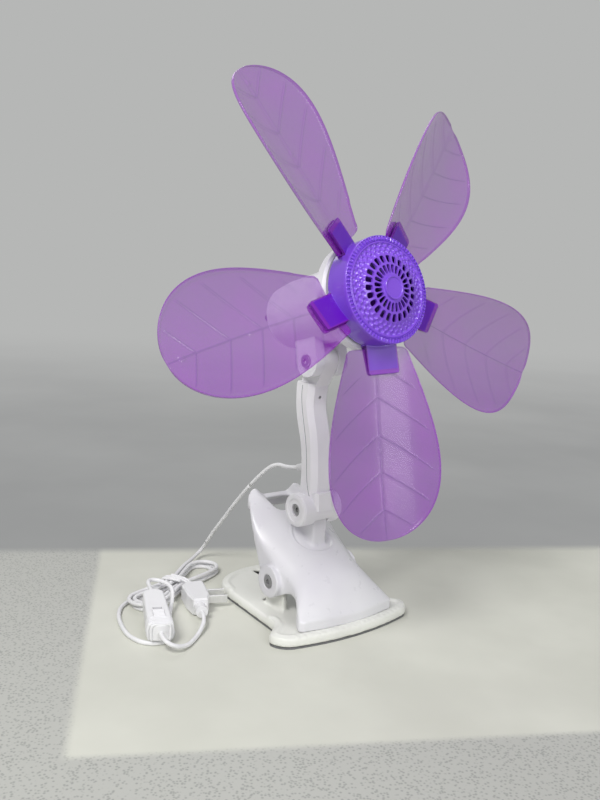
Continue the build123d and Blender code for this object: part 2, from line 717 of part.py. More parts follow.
spigot_wall = 1.4
ear_inner = tongue_half + side_gap
with BuildPart() as rear_housing:
    add(turned([(0, housing_split - 0.1), (housing_radius, housing_split - 0.1),
                (housing_radius, housing_taper_start), (housing_rear_radius + 1.6, housing_rear + 2.2),
                (housing_rear_radius - 1, housing_rear), (0, housing_rear)]))
    # ears of the upper knuckle
    with BuildSketch(Plane.YZ.offset(ear_inner)):
        with Locations((knuckle_y, upper_knuckle_z)):
            Circle(ear_radius)
        with BuildLine():
            web = [upper_knuckle - head_axis * ear_radius, upper_knuckle + head_axis * ear_radius,
                   upper_knuckle + head_axis * ear_radius + head_up * 30,
                   upper_knuckle - head_axis * ear_radius + head_up * 30]
            Polyline(*[(corner.Y, corner.Z) for corner in web], close=True)
        make_face()
    extrude(amount=ear_face - ear_inner)
    mirror(about=Plane.YZ)
    add(turned([(0, housing_split + 1), (housing_radius - housing_wall, housing_split + 1),
                (housing_radius - housing_wall, housing_taper_start),
                (housing_rear_radius - housing_wall + 1.4, housing_rear + housing_wall),
                (0, housing_rear + housing_wall)]), mode=Mode.SUBTRACT)
    add(ring(housing_radius - housing_wall - spigot_wall, housing_radius - housing_wall - 0.1,
             housing_split - 4, housing_split + 4))
    add(ring(housing_radius - housing_wall - 0.6, housing_radius - housing_wall + 0.4,
             housing_split - 4, housing_split - 1.5))
    # rear bush seat
    add(ring(bush_radius + 0.02, bush_radius + housing_wall, housing_rear + housing_wall - 0.5,
             housing_rear + housing_wall + bush_length))
    # cooling slots round the rear face
    with BuildSketch(head_plane.offset(housing_rear - 1)):
        with PolarLocations(15.5, 12):
            SlotOverall(8, 1.8)
    extrude(amount=housing_wall + 1.5, mode=Mode.SUBTRACT)
    # holes for the long screws, the knuckle bolt, its head and nut
    with BuildSketch(head_plane.offset(housing_rear - 1)):
        with Locations((through_screw_place, 0), (-through_screw_place, 0)):
            Circle(through_screw_radius + 0.1)
    extrude(amount=30, mode=Mode.SUBTRACT)
    with BuildSketch(Plane.YZ.offset(-ear_face - 1)):
        with Locations((knuckle_y, upper_knuckle_z)):
            Circle(knuckle_screw_radius + running_gap)
    extrude(amount=2 * ear_face + 2, mode=Mode.SUBTRACT)
    with BuildSketch(Plane.YZ.offset(-ear_face)):
        with Locations((knuckle_y, upper_knuckle_z)):
            Circle(knuckle_head_radius + side_gap)
    extrude(amount=1.3, mode=Mode.SUBTRACT)
    with BuildSketch(Plane.YZ.offset(ear_face - 3.3)):
        with Locations((knuckle_y, upper_knuckle_z)):
            RegularPolygon(knuckle_nut_across / 2 + 0.1, 6, major_radius=False)
    extrude(amount=3.3, mode=Mode.SUBTRACT)
rear_housing.part.label = "housing_rear"
export_step(rear_housing.part, "parts/housing_rear.step")
print("housing solids", len(housing_front.solids()), len(rear_housing.solids()))

with BuildPart() as motor_screws:
    for side in (-1, 1):
        with BuildSketch(head_plane.offset(housing_rear - 1.9)):
            with Locations((side * through_screw_place, 0)):
                Circle(2.8)
        extrude(amount=1.8)
        with BuildSketch(head_plane.offset(housing_rear - 0.1)):
            with Locations((side * through_screw_place, 0)):
                Circle(through_screw_radius)
        extrude(amount=flange_front - housing_wall - 4 - housing_rear)
motor_screws.part.label = "motor_screws"
export_step(motor_screws.part, "parts/motor_screws.step")

with BuildPart() as stator:
    add(ring(motor_core_radius + motor_air_gap, housing_radius - housing_wall - 0.1,
             stator_rear, stator_front))
    with BuildSketch(head_plane.offset(stator_rear - 1)):
        with Locations((through_screw_place, 0), (-through_screw_place, 0)):
            Circle(through_screw_radius + 0.1)
    extrude(amount=stator_front - stator_rear + 2, mode=Mode.SUBTRACT)
stator.part.label = "stator"
export_step(stator.part, "parts/stator.step")

with BuildPart() as stator_coils:
    add(ring(motor_core_radius + 1.6, 18.6, stator_front + 0.05, stator_front + 7))
    add(ring(motor_core_radius + 1.6, 18.6, stator_rear - 7, stator_rear - 0.05))
stator_coils.part.label = "stator_coils"
export_step(stator_coils.part, "parts/stator_coils.step")

bush_front = ring(shaft_radius + running_gap, bush_radius, flange_front - bush_length, flange_front)
bush_front.label = "bush_front"
export_step(bush_front, "parts/bush_front.step")

bush_rear = ring(shaft_radius + running_gap, bush_radius, housing_rear + housing_wall + 0.05,
                 housing_rear + housing_wall + bush_length)
bush_rear.label = "bush_rear"
export_step(bush_rear, "parts/bush_rear.step")

# ---------------------------------------------------------------- rotor
shaft_rear = housing_rear + housing_wall + 0.3
with BuildPart() as shaft:
    add(turned([(0, shaft_rear), (shaft_radius, shaft_rear), (shaft_radius, hub_front - 0.5),
                (0, hub_front - 0.5)]))
    add(turned([(0, 0), (2.02, 0), (2.02, hub_front), (0, hub_front)]), mode=Mode.SUBTRACT)
shaft.part.label = "shaft"
export_step(shaft.part, "parts/shaft.step")

rotor_core = ring(shaft_radius + 0.02, motor_core_radius, stator_rear, stator_front)
rotor_core.label = "rotor_core"
export_step(rotor_core, "parts/rotor_core.step")


def blade_pitch_at(reach):
    return radians(blade_pitch + blade_twist * (reach / sweep_radius - 0.6))


def blade_chord_plane(reach):
    """The plane across a blade that points along +X, at a distance from the rotor's axis."""
    pitch = blade_pitch_at(reach)
    chord = head_plane.y_dir * cos(pitch) + head_plane.z_dir * sin(pitch)
    return Plane(origin=rotor_center + head_plane.x_dir * reach, x_dir=chord, z_dir=head_plane.x_dir)


def blade_sheet(thickness):
    """A twisted and cambered sheet, larger than a blade, for one that points along +X."""
    rear_edge, front_edge = -62.0, 44.0
    middle = (rear_edge + front_edge) / 2
    with BuildPart() as sheet:
        for reach in (blade_root - 0.2, 72, 106, 140, sweep_radius + 6):
            with BuildSketch(blade_chord_plane(reach)):
                with BuildLine():
                    low = [(v, blade_camber * v * v - thickness / 2) for v in (rear_edge, middle, front_edge)]
                    high = [(v, w + thickness) for v, w in low]
                    ThreePointArc(*low)
                    Line(low[2], high[2])
                    ThreePointArc(*reversed(high))
                    Line(high[0], low[0])
                make_face()
        loft()
    return sheet.part


blade_mean_plane = blade_chord_plane(0.6 * sweep_radius)
blade_face_plane = Plane(origin=rotor_center, x_dir=head_plane.x_dir, z_dir=blade_mean_plane.y_dir)

with BuildPart() as blade_master:
    add(blade_sheet(blade_thickness))
    with BuildSketch(blade_face_plane.offset(-10)):
        with BuildLine():
            leaf = Spline((44, 19.8), (76, 27.0), (108, 32.4), (136, 31.4), (161, 16.7), (sweep_radius, -10.6),
                          (161, -37.2), (138, -49.4), (108, -48.8), (76, -39.6), (44, -27.2))
            Polyline(leaf @ 1, (blade_root + 0.4, -20), (blade_root, 0), (blade_root + 0.4, 13), leaf @ 0)
        make_face()
    extrude(amount=50, mode=Mode.INTERSECT)
print("blade", len(blade_master.solids()), blade_master.part.volume)

for number in range(blade_count):
    with BuildPart() as blade:
        add(blade_master.part.rotate(spin_axis, first_blade_angle + number * 360 / blade_count))
    blade.part.label = f"blade_{number + 1}"
    export_step(blade.part, f"parts/blade_{number + 1}.step")

with BuildPart() as blade_slot:
    add(blade_sheet(blade_thickness + 2 * socket_gap))

socket_mean_plane = blade_chord_plane((hub_radius + socket_reach) / 2)
socket_plane = Plane(origin=rotor_center, x_dir=head_plane.x_dir, z_dir=socket_mean_plane.y_dir)
with BuildPart() as socket_master:
    with BuildSketch(socket_plane.offset(-socket_back)):
        with Locations(((34.4 + socket_reach) / 2, 0)):
            Rectangle(socket_reach - 34.4, socket_width)
    extrude(amount=socket_back + socket_front)
    fillet(socket_master.edges().filter_by(Axis(rotor_center, socket_plane.z_dir))
           .sort_by(Axis(rotor_center, head_plane.x_dir))[-2:], 2.5)
    with BuildSketch(head_plane.offset(hub_rear - 8.8)):
        Rectangle(160, 160)
    extrude(amount=7, mode=Mode.SUBTRACT)
    add(blade_slot.part, mode=Mode.SUBTRACT)

with BuildPart() as hub_shell:
    add(turned([(hub_radius - hub_wall, hub_rear), (hub_radius - 0.8, hub_rear), (hub_radius, hub_rear + 0.8),
                (hub_radius, hub_front), (hub_radius - hub_wall, hub_front)]))
    for number in range(blade_count):
        add(socket_master.part.rotate(spin_axis, first_blade_angle + number * 360 / blade_count))
    add(turned([(0, hub_rear - 4), (hub_radius - hub_wall, hub_rear - 4), (hub_radius - hub_wall, hub_front + 2),
                (0, hub_front + 2)]), mode=Mode.SUBTRACT)
    add(ring(hub_boss_radius - 2, hub_radius - hub_wall + 0.3, hub_deck - 2, hub_deck))
    add(ring(shaft_radius + 0.02, hub_boss_radius, hub_rear + 1, hub_front))
    with BuildSketch(head_plane.offset(hub_rear + 2)):
        with PolarLocations((hub_boss_radius + hub_radius - hub_wall) / 2 - 0.2, blade_count):
            Rectangle(hub_radius - hub_wall - hub_boss_radius + 0.8, 1.6)
    extrude(amount=hub_deck - hub_rear - 3)
hub_shell.part.label = "hub_shell"
export_step(hub_shell.part, "parts/hub_shell.step")
print("hub solids", len(hub_shell.solids()), hub_shell.part.is_valid)

hub_screw = turned([(0, 2), (1.98, 2), (1.98, hub_front + 0.1), (3.6, hub_front + 0.1), (3.6, hub_front + 2.2),
                    (1.6, hub_front + 2.2), (1.6, hub_front + 1.0), (0, hub_front + 1.0)])
hub_screw.label = "hub_screw"
export_step(hub_screw, "parts/hub_screw.step")

with BuildSketch() as cap_window:
    with Locations((1.7, 0)):
        Circle(1.75)
    with Locations((-2.4, 0)):
        Circle(0.9)
    make_hull()

with BuildPart() as front_cap:
    cap_skirt = hub_radius - hub_wall - 0.1
    add(turned([(0, cap_crown), (cap_button_radius - 1.4, cap_crown), (cap_button_radius - 1.1, cap_crown + 0.7),
                (cap_button_radius, cap_crown + 0.5), (cap_button_radius + 0.2, cap_crown - 0.9),
                (15, cap_crown - 1.5), (20, cap_crown - 2.6), (24.6, cap_crown - 4.2), (28.6, cap_crown - 5.6),
                (32.0, cap_crown - 6.2), (33.0, cap_rim + 1.0), (34.2, cap_rim + 0.2), (35.0, cap_rim + 0.9),
                (36.4, cap_rim + 0.7), (hub_radius, cap_rim - 0.8), (hub_radius, hub_front + 0.1),
                (cap_skirt, hub_front + 0.1), (cap_skirt, hub_front - 2.4), (cap_skirt - 1.4, hub_front - 2.4),
                (cap_skirt - 1.4, cap_rim - 1.6), (32.0, cap_crown - 6.2 - cap_wall),
                (24.6, cap_crown - 4.2 - cap_wall), (20, cap_crown - 2.6 - cap_wall),
                (15, cap_crown - 1.5 - cap_wall), (0, cap_crown - 0.9 - cap_wall)]))
    with BuildSketch(head_plane.offset(hub_front)):
        with PolarLocations(cap_window_place, cap_window_count):
            add(cap_window.sketch)
        with PolarLocations(cap_slit_place, cap_window_count, start_angle=180 / cap_window_count):
            Rectangle(6.4, 1.3)
    extrude(amount=12, mode=Mode.SUBTRACT)
front_cap.part.label = "front_cap"
export_step(front_cap.part, "parts/front_cap.step")
print("cap solids", len(front_cap.solids()), front_cap.part.is_valid)

# ---------------------------------------------------------------- cord, switch and plug
cord_radius = cord_diameter / 2
layer_rise = 4.1
strand_step = 4.4
waist_lift = 2.95
floor_z = cord_radius
waist_point = Vector(-73, 86, 0)
far_bulb = Vector(-32.8, 113.9, 0)
near_bulb = Vector(-106, 74, 0)
bulb_radius = {"far": 9.6, "near": 8.6}
waist_heading = 27.4


def side_frame(center, toward):
    """A place on the hank's middle line: its forward direction (to the far bulb) and its back side."""
    ahead = toward.normalized()
    return center, ahead, Vector(-ahead.Y, ahead.X, 0)


far_frame = side_frame(far_bulb, far_bulb - waist_point)
near_frame = side_frame(near_bulb, waist_point - near_bulb)
waist_frame = side_frame(waist_point, Vector(cos(radians(waist_heading)), sin(radians(waist_heading)), 0))


def knot(frame, side, height, sense, along=0.0, across=0.0):
    """A point beside a frame, with the direction of travel along it (or across it at a turn's crown)."""
    center, ahead, back = frame
    place = center + ahead * along + back * side + Vector(0, 0, height)
    heading = ahead * sense if across == 0 else back * across
    return place, heading


def hank_knots():
    """Two laps spiral in on the floor, one run climbs, and two laps spiral out on top of them."""
    low, high = floor_z, floor_z + layer_rise
    far, near = bulb_radius["far"], bulb_radius["near"]
    inner, outer = 0, strand_step
    waist = strand_step / 2
    path = [knot(near_frame, near + outer, low, 1)]
    laps = [
        # lane and layer of the back run, of the far turn's exit, of the front run, of the near turn's exit
        (outer, low, outer, inner, low, low),
        (inner, low, inner, inner, low, high),
        (inner, high, outer, outer, high, high),
    ]
    for back_lane, back_z, front_lane, next_lane, front_z, near_z in laps:
        path.append(knot(waist_frame, waist + back_lane, back_z + waist_lift, 1))
        path.append(knot(far_frame, far + back_lane, back_z, 1))
        radius = far + (back_lane + front_lane) / 2
        path.append(knot(far_frame, (back_lane - front_lane) / 2, back_z, 1, along=radius, across=-1))
        path.append(knot(far_frame, -far - front_lane, back_z, -1))
        path.append(knot(waist_frame, -waist - front_lane, (front_z + near_z) / 2 + waist_lift, -1))
        path.append(knot(near_frame, -near - front_lane, near_z, -1))
        radius = near + (front_lane + next_lane) / 2
        path.append(knot(near_frame, (next_lane - front_lane) / 2, near_z, 1, along=-radius, across=1))
        path.append(knot(near_frame, near + next_lane, near_z, 1))
    path.append(knot(waist_frame, waist + outer, high + waist_lift, 1))
    path.append(knot(far_frame, far + outer, high, 1))
    return path


lead_end = Vector(-12.5, 138.5, 16.5)
lead_end_heading = Vector(-0.05, 0.6, -0.8).normalized()
hank_route = hank_knots()
hank_route.append((lead_end, -lead_end_heading))
cord_hank, hank_path = wound_tube(hank_route, cord_diameter)
print("hank: length", round(hank_path.length), "gap to itself", round(least_gap(hank_path, cord_diameter), 2),
      "volume share", round(cord_hank.volume / (pi * cord_radius ** 2 * hank_path.length), 4))
cord_hank.label = "cord_hank"
export_step(cord_hank, "parts/cord_hank.step")


def cord_tube(points, name):
    """A free stretch of cord: straight runs joined by the largest arcs that fit them."""
    points = [Vector(*p) for p in points]
    runs = [q - p for p, q in zip(points, points[1:])]
    radii = []
    for before, after in zip(runs, runs[1:]):
        half_turn = radians(before.get_angle(after)) / 2
        radii.append(0.45 * min(before.length, after.length) / tan(half_turn))
    with BuildPart() as tube:
        with BuildLine() as route:
            FilletPolyline(*points, radius=radii)
        with BuildSketch(Plane(origin=points[0], z_dir=runs[0])):
            Circle(cord_radius)
        sweep(path=route.wires()[0])
    length = route.wires()[0].length
    print(name, "length", round(length), "least radius", round(min(radii), 1),
          "volume share", round(tube.part.volume / (pi * cord_radius ** 2 * length), 4), tube.part.is_valid)
    return tube.part


gland_end = gland_point + gland_heading * gland_length
lead_points = [gland_end, gland_end + gland_heading * 12, (-2.5, 54, 107.6), (-5, 71, 94.5), (-8, 96, 68.5),
               (-10.2, 114, 46.5), lead_end - lead_end_heading * 14, lead_end]
cord_lead = cord_tube(lead_points, "cord_lead")
cord_lead.label = "cord_lead"
export_step(cord_lead, "parts/cord_lead.step")

# the switch lies on the cord's loop at one end and on the hank at the other
switch_low = Vector(-131, 4, 10.4)
switch_high = Vector(-110, 57, 14.6)
switch_along = (switch_high - switch_low).normalized()
switch_side = Vector(0, 0, 1).cross(switch_along).normalized()
switch_up = switch_along.cross(switch_side)
switch_length = (switch_high - switch_low).length
switch_plane = Plane(origin=switch_low, x_dir=switch_along, z_dir=switch_up)
switch_width = 18.0
switch_height = 13.0
switch_slot_place = 19.0
switch_slot_length = 15.0
switch_slot_width = 7.0
slider_length = 9.0
slider_travel = 5.0

loop_start, loop_heading = hank_route[0]
loop_points = [loop_start, loop_start - loop_heading * 13, (-134, 65, floor_z), (-140, 47, floor_z),
               (-143.5, 28, floor_z), (-139, 12, floor_z), (-126, 6, floor_z), (-114, 15, floor_z),
               (-108, 32, floor_z), (-101, 46, 3.5), (-92, 57, 9.5), (-87, 68, 13.6), (-90, 78.5, 15.2),
               (-95.2, 83.8, 15.8), (-101.6, 81.6, 16.4), switch_high + switch_along * 13, switch_high]
cord_loop = cord_tube(loop_points, "cord_loop")
cord_loop.label = "cord_loop"
export_step(cord_loop, "parts/cord_loop.step")


def switch_half(low, high):
    """One half of the switch's pebble-shaped casing between two heights above its middle plane."""
    half = switch_width / 2
    with BuildPart() as casing:
        with BuildSketch(switch_plane.offset(low)):
            with BuildLine():
                high_corner = (switch_length - 6, half - 1.2)
                Line((4, -half), (high_corner[0], -high_corner[1]))
                ThreePointArc((high_corner[0], -high_corner[1]), (switch_length, 0), high_corner)
                Line(high_corner, (4, half))
                ThreePointArc((4, half), (0, 0), (4, -half))
            make_face()
        extrude(amount=high - low)
    return casing


switch_top_block = switch_half(0.05, switch_height / 2)
with BuildPart() as switch_top:
    add(switch_top_block.part)
    fillet(switch_top.faces().sort_by(Axis(switch_low, switch_up))[-1].edges(), 1.6)
    with BuildSketch(switch_plane.offset(switch_height / 2 - 5)):
        with Locations((switch_slot_place, 0)):
            Rectangle(switch_slot_length, switch_slot_width)
    extrude(amount=8, mode=Mode.SUBTRACT)
    # finger ribs at the low end
    for rib in range(5):
        with BuildSketch(switch_plane.offset(switch_height / 2 - 0.7)):
            with Locations((2.6 + 1.9 * rib, 0)):
                Rectangle(0.8, switch_width + 2)
        extrude(amount=3, mode=Mode.SUBTRACT)
    with BuildSketch(Plane(origin=switch_high - switch_along * 3, x_dir=switch_side, z_dir=switch_along)):
        Circle(cord_radius + 0.02)
    extrude(amount=5, mode=Mode.SUBTRACT)
switch_top.part.label = "switch_top"
export_step(switch_top.part, "parts/switch_top.step")

switch_bottom_block = switch_half(-switch_height / 2, -0.05)
with BuildPart() as switch_bottom:
    add(switch_bottom_block.part)
    fillet(switch_bottom.faces().sort_by(Axis(switch_low, switch_up))[0].edges(), 1.6)
    with BuildSketch(Plane(origin=switch_high - switch_along * 3, x_dir=switch_side, z_dir=switch_along)):
        Circle(cord_radius + 0.02)
    extrude(amount=5, mode=Mode.SUBTRACT)
switch_bottom.part.label = "switch_bottom"
export_step(switch_bottom.part, "parts/switch_bottom.step")

slider_place = switch_slot_place - slider_travel / 2
with BuildPart() as switch_slider:
    with BuildSketch(switch_plane.offset(switch_height / 2 - 4.7)):
        with Locations((slider_place, 0)):
            Rectangle(slider_length, switch_slot_width - 0.4)
    extrude(amount=6.2)
    for rib in (-2.4, 0, 2.4):
        with BuildSketch(switch_plane.offset(switch_height / 2 + 0.9)):
            with Locations((slider_place + rib, 0)):
                Rectangle(1.0, switch_slot_width)
        extrude(amount=1, mode=Mode.SUBTRACT)
switch_slider.part.label = "switch_slider"
export_step(switch_slider.part, "parts/switch_slider.step")

# the plug lies on its side, with its pins towards the foot
plug_tail = Vector(-84, 27, 7.2)
plug_along = Vector(17, 45, 0).normalized()
plug_right = Vector(plug_along.Y, -plug_along.X, 0)
plug_plane = Plane(origin=plug_tail, x_dir=plug_along, z_dir=(0, 0, 1))
plug_collar_length = 9.0
plug_body_length = 37.0
plug_half_width = 9.0
plug_height = 13.5
pin_spacing = 12.7
pin_length = 15.0

with BuildPart() as plug_body:
    with BuildSketch(plug_plane.offset(-plug_height / 2)):
        with BuildLine():
            body_end = plug_collar_length + plug_body_length
            Polyline((plug_collar_length, -plug_half_width + 3), (plug_collar_length + 9, -plug_half_width),
                     (body_end - 2, -plug_half_width), (body_end, -plug_half_width + 2),
                     (body_end, plug_half_width - 5), (body_end - 5, plug_half_width),
                     (plug_collar_length + 12, plug_half_width - 1), (plug_collar_length, plug_half_width - 4),
                     close=True)
        make_face()
    extrude(amount=plug_height)
    chamfer(plug_body.edges().group_by(Axis.Z)[-1], 1.2)
    chamfer(plug_body.edges().group_by(Axis.Z)[0], 1.2)
    with BuildSketch(Plane(origin=plug_tail, z_dir=plug_along)):
        Circle(4.6)
    extrude(amount=plug_collar_length + 1)
plug_body.part.label = "plug_body"
export_step(plug_body.part, "parts/plug_body.step")

with BuildPart() as plug_pins:
    for place in (-0.5, 0.5):
        root = plug_tail + plug_along * (plug_collar_length + 20 + place * pin_spacing) \
            + plug_right * (plug_half_width + 0.02)
        with BuildSketch(Plane(origin=root, x_dir=plug_along, z_dir=plug_right)):
            RectangleRounded(1.6, 6.3, 0.5)
        extrude(amount=pin_length)
plug_pins.part.label = "plug_pins"
export_step(plug_pins.part, "parts/plug_pins.step")

tail_points = [switch_low, switch_low - switch_along * 8, (-128.5, -10.5, 6.0), (-116.5, -7.5, 2.2),
               (-104, 2.0, floor_z), (-95, 9.5, 3.0), plug_tail - plug_along * 12, plug_tail]
cord_tail = cord_tube(tail_points, "cord_tail")
cord_tail.label = "cord_tail"
export_step(cord_tail, "parts/cord_tail.step")

# a tie wound round the hank's waist
tie_diameter = 2.6
tie_turns = 2
tie_pitch = 3.4
tie_gap = 0.35
tie_straight = 1.5 * strand_step
tie_height = floor_z + waist_lift + layer_rise / 2
tie_radius = layer_rise / 2 + cord_radius + tie_gap + tie_diameter / 2
tie_span = 4 * tie_straight + 2 * pi * tie_radius


def tie_knots():
    """Turns round the bundle: flat top and bottom, half-round sides, and a steady step along it."""
    center, ahead, back = waist_frame
    slope = ahead * (tie_pitch / tie_span)
    corners = [(-tie_straight, tie_radius, back), (tie_straight, tie_radius, back),
               (tie_straight + tie_radius, 0, Vector(0, 0, -1)), (tie_straight, -tie_radius, -back),
               (-tie_straight, -tie_radius, -back), (-tie_straight - tie_radius, 0, Vector(0, 0, 1))]
    travel = [0, 2 * tie_straight, 2 * tie_straight + pi / 2 * tie_radius, 2 * tie_straight + pi * tie_radius,
              4 * tie_straight + pi * tie_radius, 4 * tie_straight + 1.5 * pi * tie_radius]
    knots = []
    for turn in range(tie_turns + 1):
        for (side, rise, heading), gone in zip(corners, travel):
            if turn < tie_turns or gone < 3 * tie_straight:
                step = tie_pitch * (turn + gone / tie_span - tie_turns / 2)
                place = center + ahead * step + back * side + Vector(0, 0, tie_height + rise)
                knots.append((place, (heading + slope).normalized()))
    return knots


cord_tie, tie_path = wound_tube(tie_knots(), tie_diameter)
print("tie gap to itself", round(least_gap(tie_path, tie_diameter), 2), cord_tie.is_valid)
cord_tie.label = "cord_tie"
export_step(cord_tie, "parts/cord_tie.step")
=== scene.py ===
import bmesh
import bpy
import numpy as np
from mathutils import Matrix, Vector
from mathutils.kdtree import KDTree


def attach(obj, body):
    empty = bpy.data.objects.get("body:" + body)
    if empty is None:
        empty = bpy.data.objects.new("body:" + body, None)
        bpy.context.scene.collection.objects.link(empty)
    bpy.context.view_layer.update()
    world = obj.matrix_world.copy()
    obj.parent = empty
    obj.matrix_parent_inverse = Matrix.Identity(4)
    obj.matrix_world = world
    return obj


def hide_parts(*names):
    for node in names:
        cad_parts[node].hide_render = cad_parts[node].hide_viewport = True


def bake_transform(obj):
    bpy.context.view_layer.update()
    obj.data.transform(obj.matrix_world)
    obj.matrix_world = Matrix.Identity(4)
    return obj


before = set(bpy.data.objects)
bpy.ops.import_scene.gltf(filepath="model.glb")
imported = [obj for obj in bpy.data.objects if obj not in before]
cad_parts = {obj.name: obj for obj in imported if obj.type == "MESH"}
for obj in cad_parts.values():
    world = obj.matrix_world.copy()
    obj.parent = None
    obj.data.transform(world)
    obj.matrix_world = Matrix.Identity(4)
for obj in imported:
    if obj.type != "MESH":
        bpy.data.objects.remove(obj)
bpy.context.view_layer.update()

# ---------------------------------------------------------------- camera
# A camera held low at the fan's left front, a little above its foot, that looks slightly down.
eye_place = Vector((-0.3978, -0.4743, 0.2640))
eye_yaw, eye_pitch, eye_roll = np.radians([38.3, -8.9, 3.2])
picture_height_px = 800
eye_focus_px = 828
film_height = 36.0

ahead = Vector((np.sin(eye_yaw) * np.cos(eye_pitch), np.cos(eye_yaw) * np.cos(eye_pitch), np.sin(eye_pitch)))
level = Vector((np.cos(eye_yaw), -np.sin(eye_yaw), 0))
upright = level.cross(ahead)
eye_right = level * np.cos(eye_roll) + upright * np.sin(eye_roll)
eye_up = upright * np.cos(eye_roll) - level * np.sin(eye_roll)


def placed(name, data):
    """Puts a mesh, a curve, a lamp or a camera into the scene as an object."""
    thing = bpy.data.objects.new(name, data)
    bpy.context.scene.collection.objects.link(thing)
    return thing


eye = placed("eye", bpy.data.cameras.new("eye"))
turn = Matrix((eye_right, eye_up, -ahead)).transposed().to_4x4()
eye.matrix_world = Matrix.Translation(eye_place) @ turn
eye.data.sensor_fit = "VERTICAL"
eye.data.sensor_height = film_height
eye.data.lens = film_height * eye_focus_px / picture_height_px
eye.data.clip_start = 0.01
bpy.context.scene.camera = eye
bpy.context.scene.view_settings.view_transform = "Standard"

# ---------------------------------------------------------------- mains cord
# White twin-core cord, 3.2 mm across.  It leaves the arm, falls in one long sag behind the clip, and is
# folded into a small tied hank on the floor.  A loop goes on to the switch, and a tail to the plug.
cord_diameter = 0.0032
cord_radius = cord_diameter / 2
layer_rise = 0.0041
strand_step = 0.0044
waist_lift = 0.00295
waist_point = Vector((-0.073, 0.086, 0))
far_bulb = Vector((-0.0328, 0.1139, 0))
near_bulb = Vector((-0.106, 0.074, 0))
far_radius, near_radius = 0.0096, 0.0086
waist_heading = np.radians(27.4)
bulb_reach = 0.007
waist_reach = 0.006
hank_overrun = 0.012
crown_angles = np.radians([22.5, 67.5, 112.5, 157.5])
cord_steps, cord_facets = 10, 5


def side_frame(center, toward):
    """A place on the hank's middle line, its direction towards the far bulb, and its back side."""
    forward = toward.normalized()
    return center, forward, Vector((-forward.y, forward.x, 0))


far_frame = side_frame(far_bulb, far_bulb - waist_point)
near_frame = side_frame(near_bulb, waist_point - near_bulb)
waist_frame = side_frame(waist_point, Vector((np.cos(waist_heading), np.sin(waist_heading), 0)))


def beside(place, side, height, forth=0.0):
    """A point beside a frame: so far towards its back side, so far along it, at a height."""
    center, forward, back = place
    return center + back * side + forward * forth + Vector((0, 0, height))


def crown(place, enter, leave, height, way):
    """A half turn from one side to the other, as the four corners of the polygon round its circle."""
    radius = (enter + leave) / 2
    shift = (enter - leave) / 2
    wide = radius / np.cos(crown_angles[0])
    return [beside(place, way * (wide * np.cos(a) + shift), height, way * wide * np.sin(a))
            for a in crown_angles]


def hank_points():
    """Two laps spiral in on the floor, one run climbs, and two laps spiral out on top of them."""
    low, high = cord_radius, cord_radius + layer_rise
    inner, outer = 0, strand_step
    waist = strand_step / 2
    points = [beside(near_frame, near_radius + outer, low)]
    laps = [
        # lane and height of the back run, lane of the front run, next lane, heights of the front run's ends
        (outer, low, outer, inner, low, low),
        (inner, low, inner, inner, low, high),
        (inner, high, outer, outer, high, high),
    ]
    for back_lane, back_z, front_lane, next_lane, front_z, near_z in laps:
        points.append(beside(near_frame, near_radius + back_lane, back_z, bulb_reach))
        points += [beside(waist_frame, waist + back_lane, back_z + waist_lift, forth)
                   for forth in (-waist_reach, waist_reach)]
        points.append(beside(far_frame, far_radius + back_lane, back_z, -bulb_reach))
        points += crown(far_frame, far_radius + back_lane, far_radius + front_lane, back_z, 1)
        points.append(beside(far_frame, -far_radius - front_lane, front_z, -bulb_reach))
        crossing_z = (front_z + near_z) / 2 + waist_lift
        points += [beside(waist_frame, -waist - front_lane, crossing_z, forth)
                   for forth in (waist_reach, -waist_reach)]
        points.append(beside(near_frame, -near_radius - front_lane, near_z, bulb_reach))
        points += crown(near_frame, near_radius + front_lane, near_radius + next_lane, near_z, -1)
    points.append(beside(near_frame, near_radius + outer, high, bulb_reach))
    points += [beside(waist_frame, waist + outer, high + waist_lift, forth)
               for forth in (-waist_reach, waist_reach)]
    points.append(beside(far_frame, far_radius + outer, high, -bulb_reach))
    points.append(beside(far_frame, far_radius + outer, high, hank_overrun))
    return points


def spline_cord(name, points, radius):
    """A round cord along one smooth curve with these control points."""
    curve = bpy.data.curves.new(name, "CURVE")
    curve.dimensions = "3D"
    curve.resolution_u = cord_steps
    curve.bevel_depth = radius
    curve.bevel_resolution = cord_facets
    curve.use_fill_caps = True
    spline = curve.splines.new("NURBS")
    spline.points.add(len(points) - 1)
    spline.points.foreach_set("co", np.array([(*p, 1) for p in points]).ravel())
    spline.order_u = 3
    spline.use_endpoint_u = True
    return placed(name, curve)


def mesh_points(mesh):
    """A mesh's points as an array."""
    places = np.empty(3 * len(mesh.vertices))
    mesh.vertices.foreach_get("co", places)
    return places.reshape(-1, 3)


def followed(points):
    """The points, in order, of the smooth curve that has these control points."""
    line = spline_cord("line", points, 0)
    line.data.use_fill_caps = False
    path = mesh_points(bpy.data.meshes.new_from_object(line))
    bpy.data.objects.remove(line)
    return path


def run_length(path):
    """The length of a line of points."""
    return float(np.linalg.norm(np.diff(path, axis=0), axis=1).sum())


def tone(red, green, blue):
    """A colour given by its 0 to 255 screen values, as the linear values that a shader takes."""
    share = np.array([red, green, blue]) / 255
    linear = np.where(share <= 0.04045, share / 12.92, ((share + 0.055) / 1.055) ** 2.4)
    return (*linear, 1.0)


